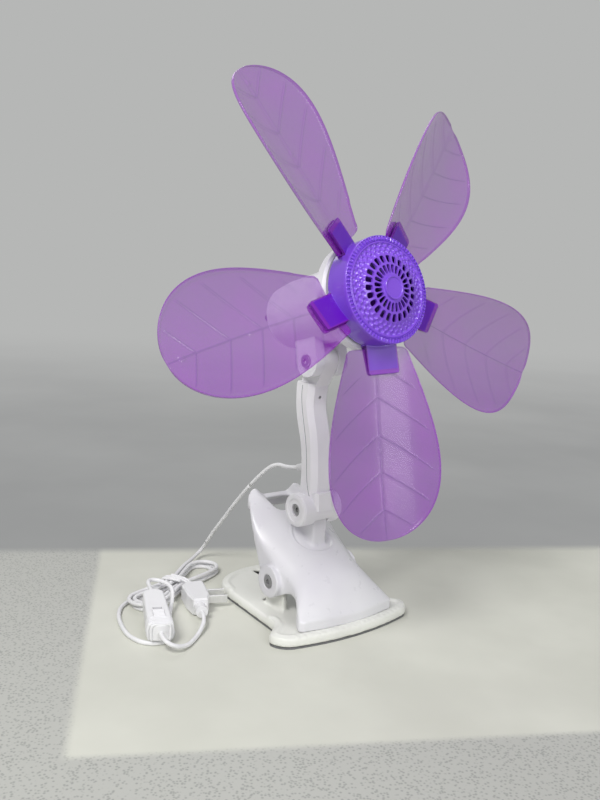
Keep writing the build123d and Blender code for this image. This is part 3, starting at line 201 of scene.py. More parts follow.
class Wire:
    """A shader socket that takes part in Python arithmetic; each operation adds one Math node."""

    def __init__(self, tree, socket):
        self.tree = tree
        self.socket = socket

    def put(self, target):
        self.tree.links.new(self.socket, target)

    def math(self, operation, *terms):
        node = self.tree.nodes.new("ShaderNodeMath")
        node.operation = operation
        for target, term in zip(node.inputs, terms):
            if isinstance(term, Wire):
                term.put(target)
            else:
                target.default_value = term
        return Wire(self.tree, node.outputs[0])

    def __add__(self, other):
        return self.math("ADD", self, other)

    def __radd__(self, other):
        return self.math("ADD", other, self)

    def __sub__(self, other):
        return self.math("SUBTRACT", self, other)

    def __rsub__(self, other):
        return self.math("SUBTRACT", other, self)

    def __mul__(self, other):
        return self.math("MULTIPLY", self, other)

    def __rmul__(self, other):
        return self.math("MULTIPLY", other, self)

    def __truediv__(self, other):
        return self.math("DIVIDE", self, other)

    def between(self, low, high):
        """0 at low, 1 at high, and a smooth rise from one to the other."""
        node = self.tree.nodes.new("ShaderNodeMapRange")
        node.interpolation_type = "SMOOTHSTEP"
        self.put(node.inputs["Value"])
        node.inputs["From Min"].default_value = low
        node.inputs["From Max"].default_value = high
        return Wire(self.tree, node.outputs["Result"])


class Finish:
    """One material: its node tree, its shader's constants, and the wires that vary over a surface."""

    def __init__(self, name, **constants):
        self.material = bpy.data.materials.new(name)
        self.material.use_nodes = True
        self.tree = self.material.node_tree
        self.shader = self.tree.nodes["Principled BSDF"]
        for socket, value in constants.items():
            self.shader.inputs[socket.replace("_", " ")].default_value = value
        self.place = self.node("TexCoord", output="Object")

    def node(self, kind, settings=None, output=0, **values):
        node = self.tree.nodes.new("ShaderNode" + kind)
        for setting, value in (settings or {}).items():
            setattr(node, setting, value)
        for socket, value in values.items():
            target = node.inputs[int(socket[1:]) if socket[0] == "_" else socket.replace("_", " ")]
            if isinstance(value, Wire):
                value.put(target)
            else:
                target.default_value = value
        return Wire(self.tree, node.outputs[output])

    def noise(self, scale, detail=3.0):
        return self.node("TexNoise", Vector=self.place, Scale=scale, Detail=detail)

    def vector(self, operation, first, second, output="Vector"):
        return self.node("VectorMath", {"operation": operation}, output, _0=first, _1=second)

    def along(self, direction, origin=(0, 0, 0)):
        """How far a surface point lies from an origin along a direction."""
        return self.vector("DOT_PRODUCT", self.vector("SUBTRACT", self.place, origin), direction, "Value")

    def shade(self, share, first, second):
        """A colour that goes from first to second as the share goes from 0 to 1."""
        return self.node("Mix", {"data_type": "RGBA"}, 2, _0=share, _6=first, _7=second)

    def feed(self, socket, wire):
        wire.put(self.shader.inputs[socket])

    def mottle(self, share, first, second):
        """A base colour that goes from the first screen tone to the second with the share."""
        self.feed("Base Color", self.shade(share, tone(*first), tone(*second)))

    def patches(self, scale):
        """A share that is 0 in some patches and 1 in others."""
        return self.noise(scale).between(0.3, 0.7)

    def haze(self, low, spread, scale):
        """A roughness that wanders from low to low + spread."""
        self.feed("Roughness", low + spread * self.noise(scale))

    def emboss(self, height, distance, strength=1.0):
        self.feed("Normal", self.node("Bump", Height=height, Strength=strength, Distance=distance))

    def dress(self, *objects):
        for thing in objects:
            thing.data.materials.clear()
            thing.data.materials.append(self.material)


def paint(finish, *nodes):
    """Gives solids of the frame a finish, each in its own material slots."""
    for name in nodes:
        for material_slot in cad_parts[name].material_slots:
            material_slot.material = finish.material


white_pvc = Finish("white_pvc")
white_pvc.mottle(white_pvc.noise(60).between(0.35, 0.7), (226, 226, 228), (236, 236, 238))
white_pvc.haze(0.26, 0.18, 400)
white_pvc.emboss(white_pvc.noise(200, 1.0), 0.00002)

lead_foot_reach = 0.011
lead_end = Vector((-0.0125, 0.1385, 0.0165))
lead_end_heading = Vector((-0.05, 0.6, -0.8)).normalized()
hank_route = hank_points() + [
    Vector((-0.0205, 0.1420, 0.0050)), lead_end + lead_end_heading * lead_foot_reach, lead_end]
hank = spline_cord("cord_hank_line", hank_route, cord_radius)
white_pvc.dress(hank)
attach(hank, "base")
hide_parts("cord_hank")

tie_diameter = 0.0026
tie_turns = 2
tie_pitch = 0.0034
tie_gap = 0.00035
tie_straight = 1.5 * strand_step
tie_height = cord_radius + waist_lift + layer_rise / 2
tie_radius = layer_rise / 2 + cord_radius + tie_gap + tie_diameter / 2


def tie_points():
    """Turns round the bundle's waist: half-round sides, straight top and bottom, a steady step along it."""
    wide = tie_radius / np.cos(crown_angles[0])
    lap = [(tie_straight + wide * np.sin(a), wide * np.cos(a)) for a in crown_angles]
    lap += [(-side, -rise) for side, rise in lap]
    points = [beside(waist_frame, -tie_straight, tie_height + tie_radius, -tie_pitch * tie_turns / 2)]
    for place in range(tie_turns * len(lap)):
        side, rise = lap[place % len(lap)]
        step = tie_pitch * ((place + 0.5) / len(lap) - tie_turns / 2)
        points.append(beside(waist_frame, side, tie_height + rise, step))
    return points + [beside(waist_frame, tie_straight, tie_height + tie_radius, tie_pitch * tie_turns / 2)]


tie = spline_cord("cord_tie_line", tie_points(), tie_diameter / 2)
white_pvc.dress(tie)
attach(tie, "base")
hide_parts("cord_tie")


def smooth(mesh, sharp_degrees=None):
    """Shades a mesh smooth, but for edges that turn by more than an angle, where one is given."""
    mesh.polygons.foreach_set("use_smooth", [True] * len(mesh.polygons))
    if sharp_degrees:
        mesh.set_sharp_from_angle(angle=np.radians(sharp_degrees))


def tube(name, path, radius, sides=20):
    """A round tube: circles of one radius round each point of a path that keeps near a plane across X."""
    tangent = np.gradient(path, axis=0)
    tangent /= np.linalg.norm(tangent, axis=1)[:, None]
    up = np.cross(tangent, (1.0, 0, 0))
    up /= np.linalg.norm(up, axis=1)[:, None]
    side = np.cross(up, tangent)
    angle = np.linspace(0, 2 * np.pi, sides, endpoint=False)
    rings = path[:, None] + radius * (np.cos(angle)[None, :, None] * side[:, None]
                                      + np.sin(angle)[None, :, None] * up[:, None])
    number = np.arange(len(path) * sides).reshape(len(path), sides)
    after = np.roll(number, -1, axis=1)
    quads = np.stack([number[:-1], after[:-1], after[1:], number[1:]], -1).reshape(-1, 4)
    ends = [number[0][::-1].tolist(), number[-1].tolist()]
    mesh = bpy.data.meshes.new(name)
    mesh.from_pydata(rings.reshape(-1, 3).tolist(), [], quads.tolist() + ends)
    smooth(mesh)
    return placed(name, mesh)


gland_drop = np.radians(15)
gland_heading = Vector((0, np.cos(gland_drop), -np.sin(gland_drop)))
gland_length = 0.014
gland_end = Vector((0, 0.0136, 0.1135)) + gland_heading * gland_length
lead_start_reach, lead_end_reach = 0.012, 0.014
lead_middle_height = 0.082
lead_route = [gland_end, gland_end + gland_heading * lead_start_reach, (-0.0025, 0.054, 0.1076),
              (-0.005, 0.071, 0.0945), (-0.008, 0.096, 0.0685), (-0.0102, 0.114, 0.0465),
              lead_end - lead_end_heading * lead_end_reach, lead_end]
lead_path = followed(lead_route)
middle = int(np.argmin(np.abs(lead_path[:, 2] - lead_middle_height)))
upper_path, lower_path = lead_path[:middle + 1], lead_path[middle:]

upper_lead = tube("cord_lead_upper", upper_path, cord_radius)
lower_lead = tube("cord_lead_lower", lower_path, cord_radius)
white_pvc.dress(upper_lead, lower_lead)
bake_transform(upper_lead)
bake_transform(lower_lead)
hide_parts("cord_lead")

# From the hank the cord makes one loop on the floor and climbs back over the hank to the switch.
switch_low = Vector((-0.131, 0.004, 0.0104))
switch_high = Vector((-0.110, 0.057, 0.0146))
switch_along = (switch_high - switch_low).normalized()
switch_side = Vector((0, 0, 1)).cross(switch_along).normalized()
switch_up = switch_along.cross(switch_side)
loop_start = hank_route[0]
loop_heading = near_frame[1]
loop_end_reach = 0.013
loop_route = [loop_start, loop_start - loop_heading * loop_end_reach, (-0.134, 0.065, cord_radius),
              (-0.140, 0.047, cord_radius), (-0.1435, 0.028, cord_radius), (-0.139, 0.012, cord_radius),
              (-0.126, 0.006, cord_radius), (-0.114, 0.015, cord_radius), (-0.108, 0.032, cord_radius),
              (-0.101, 0.046, 0.0035), (-0.092, 0.057, 0.0095), (-0.087, 0.068, 0.0136),
              (-0.090, 0.0785, 0.0152), (-0.0952, 0.0838, 0.0158), (-0.1016, 0.0816, 0.0164),
              switch_high + switch_along * loop_end_reach, switch_high]
loop = spline_cord("cord_loop_line", loop_route, cord_radius)
white_pvc.dress(loop)
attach(loop, "base")
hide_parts("cord_loop")

plug_tail = Vector((-0.084, 0.027, 0.0072))
plug_along = Vector((17, 45, 0)).normalized()
tail_start_reach, tail_end_reach = 0.008, 0.012
tail_route = [switch_low, switch_low - switch_along * tail_start_reach, (-0.1285, -0.0105, 0.006),
              (-0.1165, -0.0075, 0.0022), (-0.104, 0.002, cord_radius), (-0.095, 0.0095, 0.003),
              plug_tail - plug_along * tail_end_reach, plug_tail]
tail = spline_cord("cord_tail_line", tail_route, cord_radius)
white_pvc.dress(tail)
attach(tail, "base")
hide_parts("cord_tail")

# ---------------------------------------------------------------- floor, room and lamps
# A pale sheet lies on a woven cloth under the fan.  Beyond its far edge the floor glows as a grey backdrop,
# with painted shade that darkens it towards the sheet's edge and painted wrinkle shade in soft clouds.  The
# light is soft daylight from the upper left, with weaker lamps in front and behind.
floor_reach = 14.0
sheet_edge = 0.143
sheet_blur = 0.012
sheet_heading = (0.466, 0.885, 0)
sheet_side = (0.885, -0.466, 0)
sheet_near = -0.185
sheet_left = -0.170
cut_blur = 0.004
cloth_scale = 480
floor_lit, floor_far = 0.55, 1.5
wall_fade = 2.5
lamp_aim = Vector((0, 0, 0.15))

lamp_list = [
    # name, place, size, power, colour
    ("key_lamp", (-1.05, -0.45, 1.3), 0.6, 19, (1.0, 0.99, 0.975)),
    ("front_lamp", (-0.2, -1.6, 0.75), 0.9, 11, (0.98, 0.985, 1.0)),
    ("rear_lamp", (0.3, 1.2, 1.4), 0.9, 5, (1.0, 1.0, 1.0)),
]
for lamp_name, lamp_place, lamp_size, lamp_power, lamp_colour in lamp_list:
    lamp = placed(lamp_name, bpy.data.lights.new(lamp_name, "AREA"))
    lamp.data.size = lamp_size
    lamp.data.energy = lamp_power
    lamp.data.color = lamp_colour
    lamp.location = lamp_place
    lamp.rotation_euler = (lamp_aim - Vector(lamp_place)).to_track_quat("-Z", "Y").to_euler()

# The backdrop's low tone is its painted shade near the sheet's edge; its high tone is its plain colour.
wall_shaded_tone, wall_high = tone(150, 151, 151), tone(182, 183, 182)
room = bpy.data.worlds.new("room")
room.use_nodes = True
bpy.context.scene.world = room
room_nodes, room_links = room.node_tree.nodes, room.node_tree.links
room_light = room_nodes["Background"]
room_light.inputs["Color"].default_value = (0.25, 0.25, 0.255, 1)
room_seen = room_nodes.new("ShaderNodeBackground")
room_seen.inputs["Color"].default_value = wall_high
paths = room_nodes.new("ShaderNodeLightPath")
seen = Wire(room.node_tree, paths.outputs["Is Camera Ray"])
for way in ("Is Transmission Ray", "Is Glossy Ray"):
    seen = seen.math("MAXIMUM", seen, Wire(room.node_tree, paths.outputs[way]))
room_mix = room_nodes.new("ShaderNodeMixShader")
seen.put(room_mix.inputs[0])
room_links.new(room_light.outputs[0], room_mix.inputs[1])
room_links.new(room_seen.outputs[0], room_mix.inputs[2])
room_links.new(room_mix.outputs[0], room_nodes["World Output"].inputs["Surface"])

floor_mesh = bpy.data.meshes.new("floor")
floor_mesh.from_pydata([(-floor_reach, -floor_reach, 0), (floor_reach, -floor_reach, 0),
                        (floor_reach, floor_reach, 0), (-floor_reach, floor_reach, 0)], [], [(0, 1, 2, 3)])
floor = placed("floor", floor_mesh)
paper = Finish("floor_paper")
# Soft clouds between a darker and a lighter sheet tone are painted shade of the sheet's wrinkles.
sheet_wrinkle_shade = paper.noise(9, 4.0).between(0.3, 0.75)
sheet_colour = paper.shade(sheet_wrinkle_shade, tone(206, 207, 197), tone(217, 218, 208))
sheet_distance = paper.along(sheet_heading)
sheet_sideways = paper.along(sheet_side)
on_sheet = sheet_distance.between(sheet_near - cut_blur, sheet_near + cut_blur)
on_sheet = on_sheet * sheet_sideways.between(sheet_left - cut_blur, sheet_left + cut_blur)
cloth_weave = paper.node("TexVoronoi", {"feature": "F1"}, Vector=paper.place, Scale=cloth_scale)
cloth_colour = paper.shade(cloth_weave.between(0.15, 0.5), tone(158, 160, 156), tone(186, 187, 182))
paper.feed("Base Color", paper.shade(on_sheet, cloth_colour, sheet_colour))
paper.haze(0.7, 0.2, 30)
floor_distance = paper.vector("LENGTH", paper.place, (0, 0, 0), "Value")
beyond = sheet_distance.between(sheet_edge - sheet_blur, sheet_edge + sheet_blur)
beyond = beyond.math("MAXIMUM", beyond, floor_distance.between(floor_lit, floor_far))
# Painted shade: the glowing backdrop darkens towards the sheet's far edge and carries soft clouds of painted
# wrinkle shade.
wall_wrinkle_shade = paper.noise(2.5, 5.0).between(0.25, 0.8)
wall_shade_fade = sheet_distance.between(sheet_edge, wall_fade)
wall_shade_fade = wall_shade_fade.math("MAXIMUM", wall_shade_fade, floor_distance.between(floor_far, 2 * floor_far))
wall_tone = paper.shade(wall_shade_fade, wall_shaded_tone, wall_high)
wall_glow = paper.node("Emission", Color=paper.shade(wall_wrinkle_shade * 0.35, wall_tone, wall_high))
wall_mix = paper.node("MixShader", _0=beyond, _1=Wire(paper.tree, paper.shader.outputs[0]), _2=wall_glow)
wall_mix.put(paper.tree.nodes["Material Output"].inputs["Surface"])
paper.dress(floor)

# ---------------------------------------------------------------- foot
# One moulded plate of white plastic on a thin grey pad of soft rubber, with two lugs for the clip's pin.
foot_white = Finish("foot_white")
foot_white.mottle(foot_white.patches(22), (226, 227, 221), (234, 235, 229))
foot_white.haze(0.28, 0.2, 180)
foot_white.emboss(foot_white.noise(900, 2.0), 0.00005)

plate_floor, plate_top = 0.0015, 0.0080
plate_cell = 0.0011
plate_rounds = 3
lug_low = 0.0115
border_height = 0.0011
border_middle, border_half_width = 0.0027, 0.0026
border_fullness = 0.8
merge_reach = 2e-6


def merged_copy(node, name):
    """A copy of a CAD node's mesh with its loose triangles joined into one surface."""
    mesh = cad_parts[node].data.copy()
    if "custom_normal" in mesh.attributes:
        mesh.attributes.remove(mesh.attributes["custom_normal"])
    work = bmesh.new()
    work.from_mesh(mesh)
    bmesh.ops.remove_doubles(work, verts=work.verts, dist=merge_reach)
    work.to_mesh(mesh)
    work.free()
    return placed(name, mesh)


def remeshed(thing, cell):
    """Gives a closed piece an even skin of small faces, so that it can be shaped."""
    cells = thing.modifiers.new("cells", "REMESH")
    cells.mode = "VOXEL"
    cells.voxel_size = cell
    even = bpy.data.meshes.new_from_object(thing.evaluated_get(bpy.context.evaluated_depsgraph_get()))
    thing.modifiers.clear()
    thing.data = even
    smooth(even)


def relaxed(mesh, points, weight, rounds):
    """Moves each point towards the middle of its neighbours, round by round, so that edges become round."""
    edges = np.empty(2 * len(mesh.edges), int)
    mesh.edges.foreach_get("vertices", edges)
    first, second = edges.reshape(-1, 2).T
    count = np.bincount(edges, minlength=len(points))[:, None]
    for _ in range(rounds):
        total = np.zeros_like(points)
        for axis in range(3):
            total[:, axis] = (np.bincount(first, points[second, axis], len(points))
                              + np.bincount(second, points[first, axis], len(points)))
        points = points + 0.5 * weight[:, None] * (total / count - points)
    return points


def step(value, low, high):
    """0 below low, 1 above high, and a smooth rise between them."""
    share = np.clip((value - low) / (high - low), 0, 1)
    return share * share * (3 - 2 * share)


plate = merged_copy("base_plate", "foot_plate")
plate_line = mesh_points(plate.data)
plate_line = plate_line[np.abs(plate_line[:, 2] - plate_floor) < 1e-4]
remeshed(plate, plate_cell)
plate_points = mesh_points(plate.data)
below_lugs = np.where(plate_points[:, 2] < lug_low, 1.0, 0.0)
plate_points = relaxed(plate.data, plate_points, below_lugs, plate_rounds)
plate_tree = KDTree(len(plate_line))
for place, corner in enumerate(plate_line):
    plate_tree.insert((corner[0], corner[1], 0), place)
plate_tree.balance()
edge_distance = np.array([plate_tree.find((x, y, 0))[2] for x, y, _ in plate_points])
rolled = np.clip(1 - ((edge_distance - border_middle) / border_half_width) ** 2, 0, 1) ** border_fullness
on_top = step(plate_points[:, 2], plate_floor + 0.002, plate_top - 0.0005)
on_top *= plate_points[:, 2] < plate_top + 0.001
plate_points[:, 2] += border_height * rolled * on_top
plate.data.vertices.foreach_set("co", plate_points.ravel())
foot_white.dress(plate)
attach(plate, "base")
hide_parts("base_plate")

pad_rubber = Finish("pad_rubber", Roughness=0.75)
pad_rubber.mottle(pad_rubber.noise(300), (96, 97, 99), (116, 117, 119))
pad_rubber.emboss(pad_rubber.noise(1400), 0.0001)
paint(pad_rubber, "base_pad", "jaw_grip")

# ---------------------------------------------------------------- clip
# The upper jaw is one crowned hood of glossy white plastic with a finger hole in its handle; it turns on
# a steel pin and nut and is held shut by a coiled steel spring.
jaw_white = Finish("jaw_white", Coat_Weight=0.15, Coat_Roughness=0.2)
jaw_white.mottle(jaw_white.patches(18), (219, 218, 223), (228, 228, 231))
jaw_white.haze(0.22, 0.16, 150)
jaw_white.emboss(jaw_white.noise(200, 1.0), 0.00003)

hood_cell = 0.0009
hood_rounds = 16
pivot_y, pivot_z = 0.0063, 0.0295
knuckle_y, lower_knuckle_z = 0.0050, 0.0830
boss_radius, boss_face = 0.0145, 0.0305
lip_low, lip_high = 0.0135, 0.0185
lip_ease = 0.08
tongue_half_width, tongue_half_depth = 0.0085, 0.0125
tongue_low, tongue_high = 0.066, 0.070
dish_radius = 0.0165
dish_drop, dish_wall = 0.0012, 0.0022
dish_lip, dish_lip_width = 0.0007, 0.0011
dish_floor, dish_half_width = 0.045, 0.024
stem_low, stem_half_width = 0.0735, 0.0075
handle_drop, handle_sag, handle_round = 0.0015, 0.0068, 0.0048
handle_start, handle_end = 0.034, 0.0545
sag_half_width, sag_ease = 0.0225, 0.012
corner_start, corner_end = 0.018, 0.032
corner_near, corner_far = 0.036, 0.056


def soft_hood(mesh):
    """Rounds the hood's creases, sinks the dish round the tongue, and lets the handle's rear strap sag."""
    points = mesh_points(mesh)
    x, y, z = points.T
    boss = np.hypot(y - pivot_y, z - pivot_z) < boss_radius
    weight = np.where(boss & (np.abs(x) > boss_face), 0.0, 1.0)
    weight *= step(z, lip_low, lip_high)
    tongue = (np.abs(y - knuckle_y) < tongue_half_depth) * (np.abs(x) < tongue_half_width)
    weight *= 1 - step(z, tongue_low, tongue_high) * tongue
    points = relaxed(mesh, points, np.maximum(weight, lip_ease * ~boss), hood_rounds)
    x, y, z = points.T
    radius = np.hypot(x, y - knuckle_y)
    stem = (np.abs(x) < stem_half_width) & (z > stem_low)
    inside = (z > dish_floor) & (np.abs(x) < dish_half_width) & ~stem
    lift = dish_lip * np.exp(-((radius - dish_radius) / dish_lip_width) ** 2)
    lift -= dish_drop * step(dish_radius - radius, 0, dish_wall)
    sag = handle_drop + handle_sag * step(sag_half_width - np.abs(x), 0, sag_ease)
    shoulder = handle_round * step(np.abs(x), corner_start, corner_end) * step(y, corner_near, corner_far)
    drop = sag * step(y, handle_start, handle_end) + shoulder
    points[:, 2] += np.where(inside, lift, 0) - drop
    mesh.vertices.foreach_set("co", points.ravel())


hood = merged_copy("jaw_shell", "clip_hood")
remeshed(hood, hood_cell)
soft_hood(hood.data)
jaw_white.dress(hood)
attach(hood, "upper_jaw")
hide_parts("jaw_shell")

steel = Finish("zinc_steel", Metallic=1.0)
steel.mottle(steel.noise(500), (150, 150, 152), (196, 196, 196))
steel.haze(0.22, 0.3, 900)
steel.emboss(steel.noise(2500), 0.00003)
spring = merged_copy("jaw_spring", "clip_spring")
smooth(spring.data)
steel.dress(spring)
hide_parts("jaw_spring")
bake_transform(spring)
paint(steel, "pivot_pin", "pivot_nut", "arm_screws", "lower_screw", "lower_nut",
      "upper_screw", "upper_nut", "motor_screws", "hub_screw")

# ---------------------------------------------------------------- arm
# Two white shells, screwed together along a seam on the arm's sides, with a soft gland for the cord.  A
# raised ring stands on each side of the lower knuckle, and a tab on the front shell covers its joint.
arm_white = Finish("arm_white")
arm_white.mottle(arm_white.patches(20), (232, 231, 235), (240, 239, 242))
arm_white.haze(0.3, 0.18, 160)
arm_white.emboss(arm_white.noise(800, 2.0), 0.00005)
paint(arm_white, "arm_front", "arm_cover")

arm_height = 0.097
arm_side = 0.0100
seam_profile = np.array([(0.12, -1.0), (0.3, 3.6), (0.43, 5.0), (0.54, 6.8), (0.64, 9.2), (0.74, 12.2),
                         (0.87, 14.6), (0.98, 14.4)])
seam_steps, seam_degree = 90, 5
seam_depth = 0.0004
knuckle_face = 0.0178
ring_section = np.array([(8.4, -0.4), (8.4, 0.55), (8.9, 0.95), (10.2, 0.95), (10.8, 0.6), (11.9, 0.6),
                         (12.5, 0.2), (12.5, -0.4)]) / 1000
ring_steps = 96
tab_section = np.array([(-8.6, -4.0), (-8.6, -6.6), (-6.2, -9.2), (6.2, -9.2), (8.6, -6.6),
                        (8.6, -4.0)]) / 1000
tab_low, tab_high = 0.0838, 0.0975
tab_rows, tab_lean = 6, 0.0002


def turned_outwards(mesh):
    """Makes all the faces of a closed mesh point outwards."""
    work = bmesh.new()
    work.from_mesh(mesh)
    bmesh.ops.recalc_face_normals(work, faces=work.faces)
    work.to_mesh(mesh)
    work.free()


def swept(name, rings, closed=False):
    """A closed skin over a row of equal outlines; the row joins its own start, or its ends are covered."""
    rows, columns = rings.shape[:2]
    number = np.arange(rows * columns).reshape(rows, columns)
    here, there = (number, np.roll(number, -1, axis=0)) if closed else (number[:-1], number[1:])
    polygons = np.stack([here, there, np.roll(there, -1, axis=1), np.roll(here, -1, axis=1)], -1)
    polygons = polygons.reshape(-1, 4).tolist()
    if not closed:
        polygons += [number[0].tolist(), number[-1][::-1].tolist()]
    mesh = bpy.data.meshes.new(name)
    mesh.from_pydata(rings.reshape(-1, 3).tolist(), [], polygons)
    turned_outwards(mesh)
    smooth(mesh, 40)
    return placed(name, mesh)


def seam_bead(name, side, shift, half_width, proud):
    """A thin flat bead along the arm's side seam, which is a polynomial through the seam's profile."""
    share = np.linspace(seam_profile[0, 0], seam_profile[-1, 0], seam_steps)
    fit = np.polynomial.Polynomial.fit(seam_profile[:, 0], seam_profile[:, 1], seam_degree)
    y, z = fit(share) / 1000 + shift, lower_knuckle_z + share * arm_height
    section = [(-half_width, -seam_depth), (-half_width * 0.8, proud), (half_width * 0.8, proud),
               (half_width, -seam_depth)]
    return swept(name, np.stack([np.stack([side * (arm_side + out) + 0 * y, y + wide, z], -1)
                                 for wide, out in section], 1))


# The flush grey strip along each seam is painted shade of the gap between the two shells; the white bead
# beside it is raised.
painted_seam_shade = Finish("painted_seam_shade", Roughness=0.5)
painted_seam_shade.mottle(painted_seam_shade.noise(300), (138, 140, 143), (158, 160, 162))
trim = []
for side_name, side in (("left", -1), ("right", 1)):
    seam_shade_line = seam_bead(f"arm_seam_shade_{side_name}", side, 0, 0.00045, 0.00004)
    painted_seam_shade.dress(seam_shade_line)
    seam_edge = seam_bead(f"arm_bead_{side_name}", side, 0.0014, 0.0006, 0.00035)
    turn = np.linspace(0, 2 * np.pi, ring_steps, endpoint=False)
    ring_lines = [np.stack([side * (knuckle_face + out) + 0 * turn, knuckle_y + radius * np.cos(turn),
                            lower_knuckle_z + radius * np.sin(turn)], -1) for radius, out in ring_section]
    ring = swept(f"knuckle_ring_{side_name}", np.stack(ring_lines, 1), closed=True)
    arm_white.dress(seam_edge, ring)
    trim += [seam_shade_line, seam_edge, ring]
tab_side, tab_front = tab_section.T
tab = swept("arm_tab", np.stack([np.stack([tab_side, tab_front + tab_lean * row, 0 * tab_side + height], -1)
                                 for row, height in enumerate(np.linspace(tab_low, tab_high, tab_rows))]))
arm_white.dress(tab)
for piece in trim + [tab]:
    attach(piece, "arm")

gland_rubber = Finish("gland_rubber", Roughness=0.6)
gland_rubber.mottle(gland_rubber.noise(200), (214, 214, 216), (226, 226, 228))
gland_rubber.emboss(gland_rubber.noise(1600), 0.00006)
paint(gland_rubber, "cord_gland")

# ---------------------------------------------------------------- head
# The motor's two white shells.  Inside them are the iron stator with its copper coils, two bronze bushes,
# and the rotor's core on its steel shaft.
head_white = Finish("head_white", Coat_Weight=0.1, Coat_Roughness=0.25)
head_white.mottle(head_white.patches(20), (226, 225, 231), (235, 234, 239))
head_white.haze(0.26, 0.16, 150)
head_white.emboss(head_white.noise(800, 2.0), 0.00005)
paint(head_white, "housing_front", "housing_rear")

motor_iron = Finish("motor_iron", Metallic=1.0)
motor_iron.mottle(motor_iron.noise(400), (92, 93, 96), (128, 128, 130))
motor_iron.haze(0.4, 0.2, 600)
paint(motor_iron, "stator", "rotor_core", "shaft")

coil_copper = Finish("coil_copper", Metallic=1.0)
coil_copper.mottle(coil_copper.noise(900), (150, 80, 45), (200, 122, 76))
coil_copper.haze(0.3, 0.25, 900)
paint(coil_copper, "stator_coils")

bush_bronze = Finish("bush_bronze", Metallic=1.0)
bush_bronze.mottle(bush_bronze.noise(700), (150, 112, 62), (182, 142, 88))
bush_bronze.haze(0.35, 0.25, 800)
paint(bush_bronze, "bush_front", "bush_rear")

# ---------------------------------------------------------------- blades
# Five soft leaves of clear violet vinyl, moulded with a midrib, curved side veins and a thicker rim.
# Each is a twisted and cambered sheet whose root is glued into one of the hub's sockets.
head_pitch = np.radians(14.5)
head_axis = np.array([0, -np.cos(head_pitch), np.sin(head_pitch)])
head_up = np.array([0, np.sin(head_pitch), np.cos(head_pitch)])
upper_knuckle = np.array([0, 0.005, 0.1975])
rotor_center = upper_knuckle + head_axis * 0.0633 + head_up * 0.0387
sweep_radius = 0.171
blade_count = 5
first_blade_angle = 54.7
blade_root = 0.0384
blade_neck = 0.044
blade_length = sweep_radius - blade_neck
blade_thickness = 0.0016
blade_pitch = 24.1
blade_twist = 4.9
blade_camber = 6.1
rib_height = 0.00055
rib_half_width = 0.00062
line_half_width = 0.00028
middle_shift, middle_swing, swing_power = -0.0107, 0.007, 1.6
body_curve = (0.104, -0.1055, 0.025)
neck_half, neck_drop = 0.0235, 0.007
midrib_start, midrib_end = (0.052, 0.060), (0.008, 0.016)
vein_starts = (0.050, 0.073, 0.099, 0.124, 0.150)
vein_slope, vein_curve = 0.58, 4.5
dot_places, dot_radius = (0.109, 0.1605), 0.0026
rim_width = 0.0034
blade_rows, blade_columns = 236, 201
right_hand = np.array([1.0, 0, 0])


def leaf_middle(reach):
    """Where the leaf's middle line lies across the chord, by a power of the distance from the tip."""
    left = np.clip((sweep_radius - reach) / blade_length, 0, 1)
    return middle_shift + middle_swing * left ** swing_power


def leaf_half(reach):
    """The leaf's half width: the root of the distance from the tip, times a quadratic, then a round neck."""
    left = np.clip((sweep_radius - reach) / blade_length, 0, 1)
    body = np.sqrt(left) * (body_curve[0] + body_curve[1] * left + body_curve[2] * left ** 2)
    drop = np.clip((blade_neck - reach) / (blade_neck - blade_root), 0, 1)
    return np.where(reach > blade_neck, body, neck_half - neck_drop * (1 - np.sqrt(1 - drop ** 2)))


def bump(distance):
    """A moulded rib's rounded profile at a distance from its line."""
    return np.exp(-(distance / rib_half_width) ** 2)


def vein_height(reach, chord):
    """The relief of a leaf: midrib, pairs of curved side veins, two moulded dots and a raised rim."""
    off = chord - leaf_middle(reach)
    edge = leaf_half(reach) - np.abs(off)
    height = bump(off * 0.8) * step(reach, *midrib_start) * step(sweep_radius - reach, *midrib_end)
    for start in vein_starts:
        line = start + vein_slope * np.abs(off) + vein_curve * off ** 2
        slope = vein_slope + 2 * vein_curve * np.abs(off)
        vein = bump((reach - line) / np.sqrt(1 + slope ** 2) * 1.15)
        height = np.maximum(height, 0.85 * vein * step(edge, 0.004, 0.008))
    for place in dot_places:
        height = np.maximum(height, 1.25 * step(dot_radius - np.hypot(reach - place, off), 0, 0.0009))
    rim = step(rim_width - edge, 0, 0.0014)
    return rib_height * np.maximum(height, 0.8 * rim * step(reach, 0.056, 0.060))


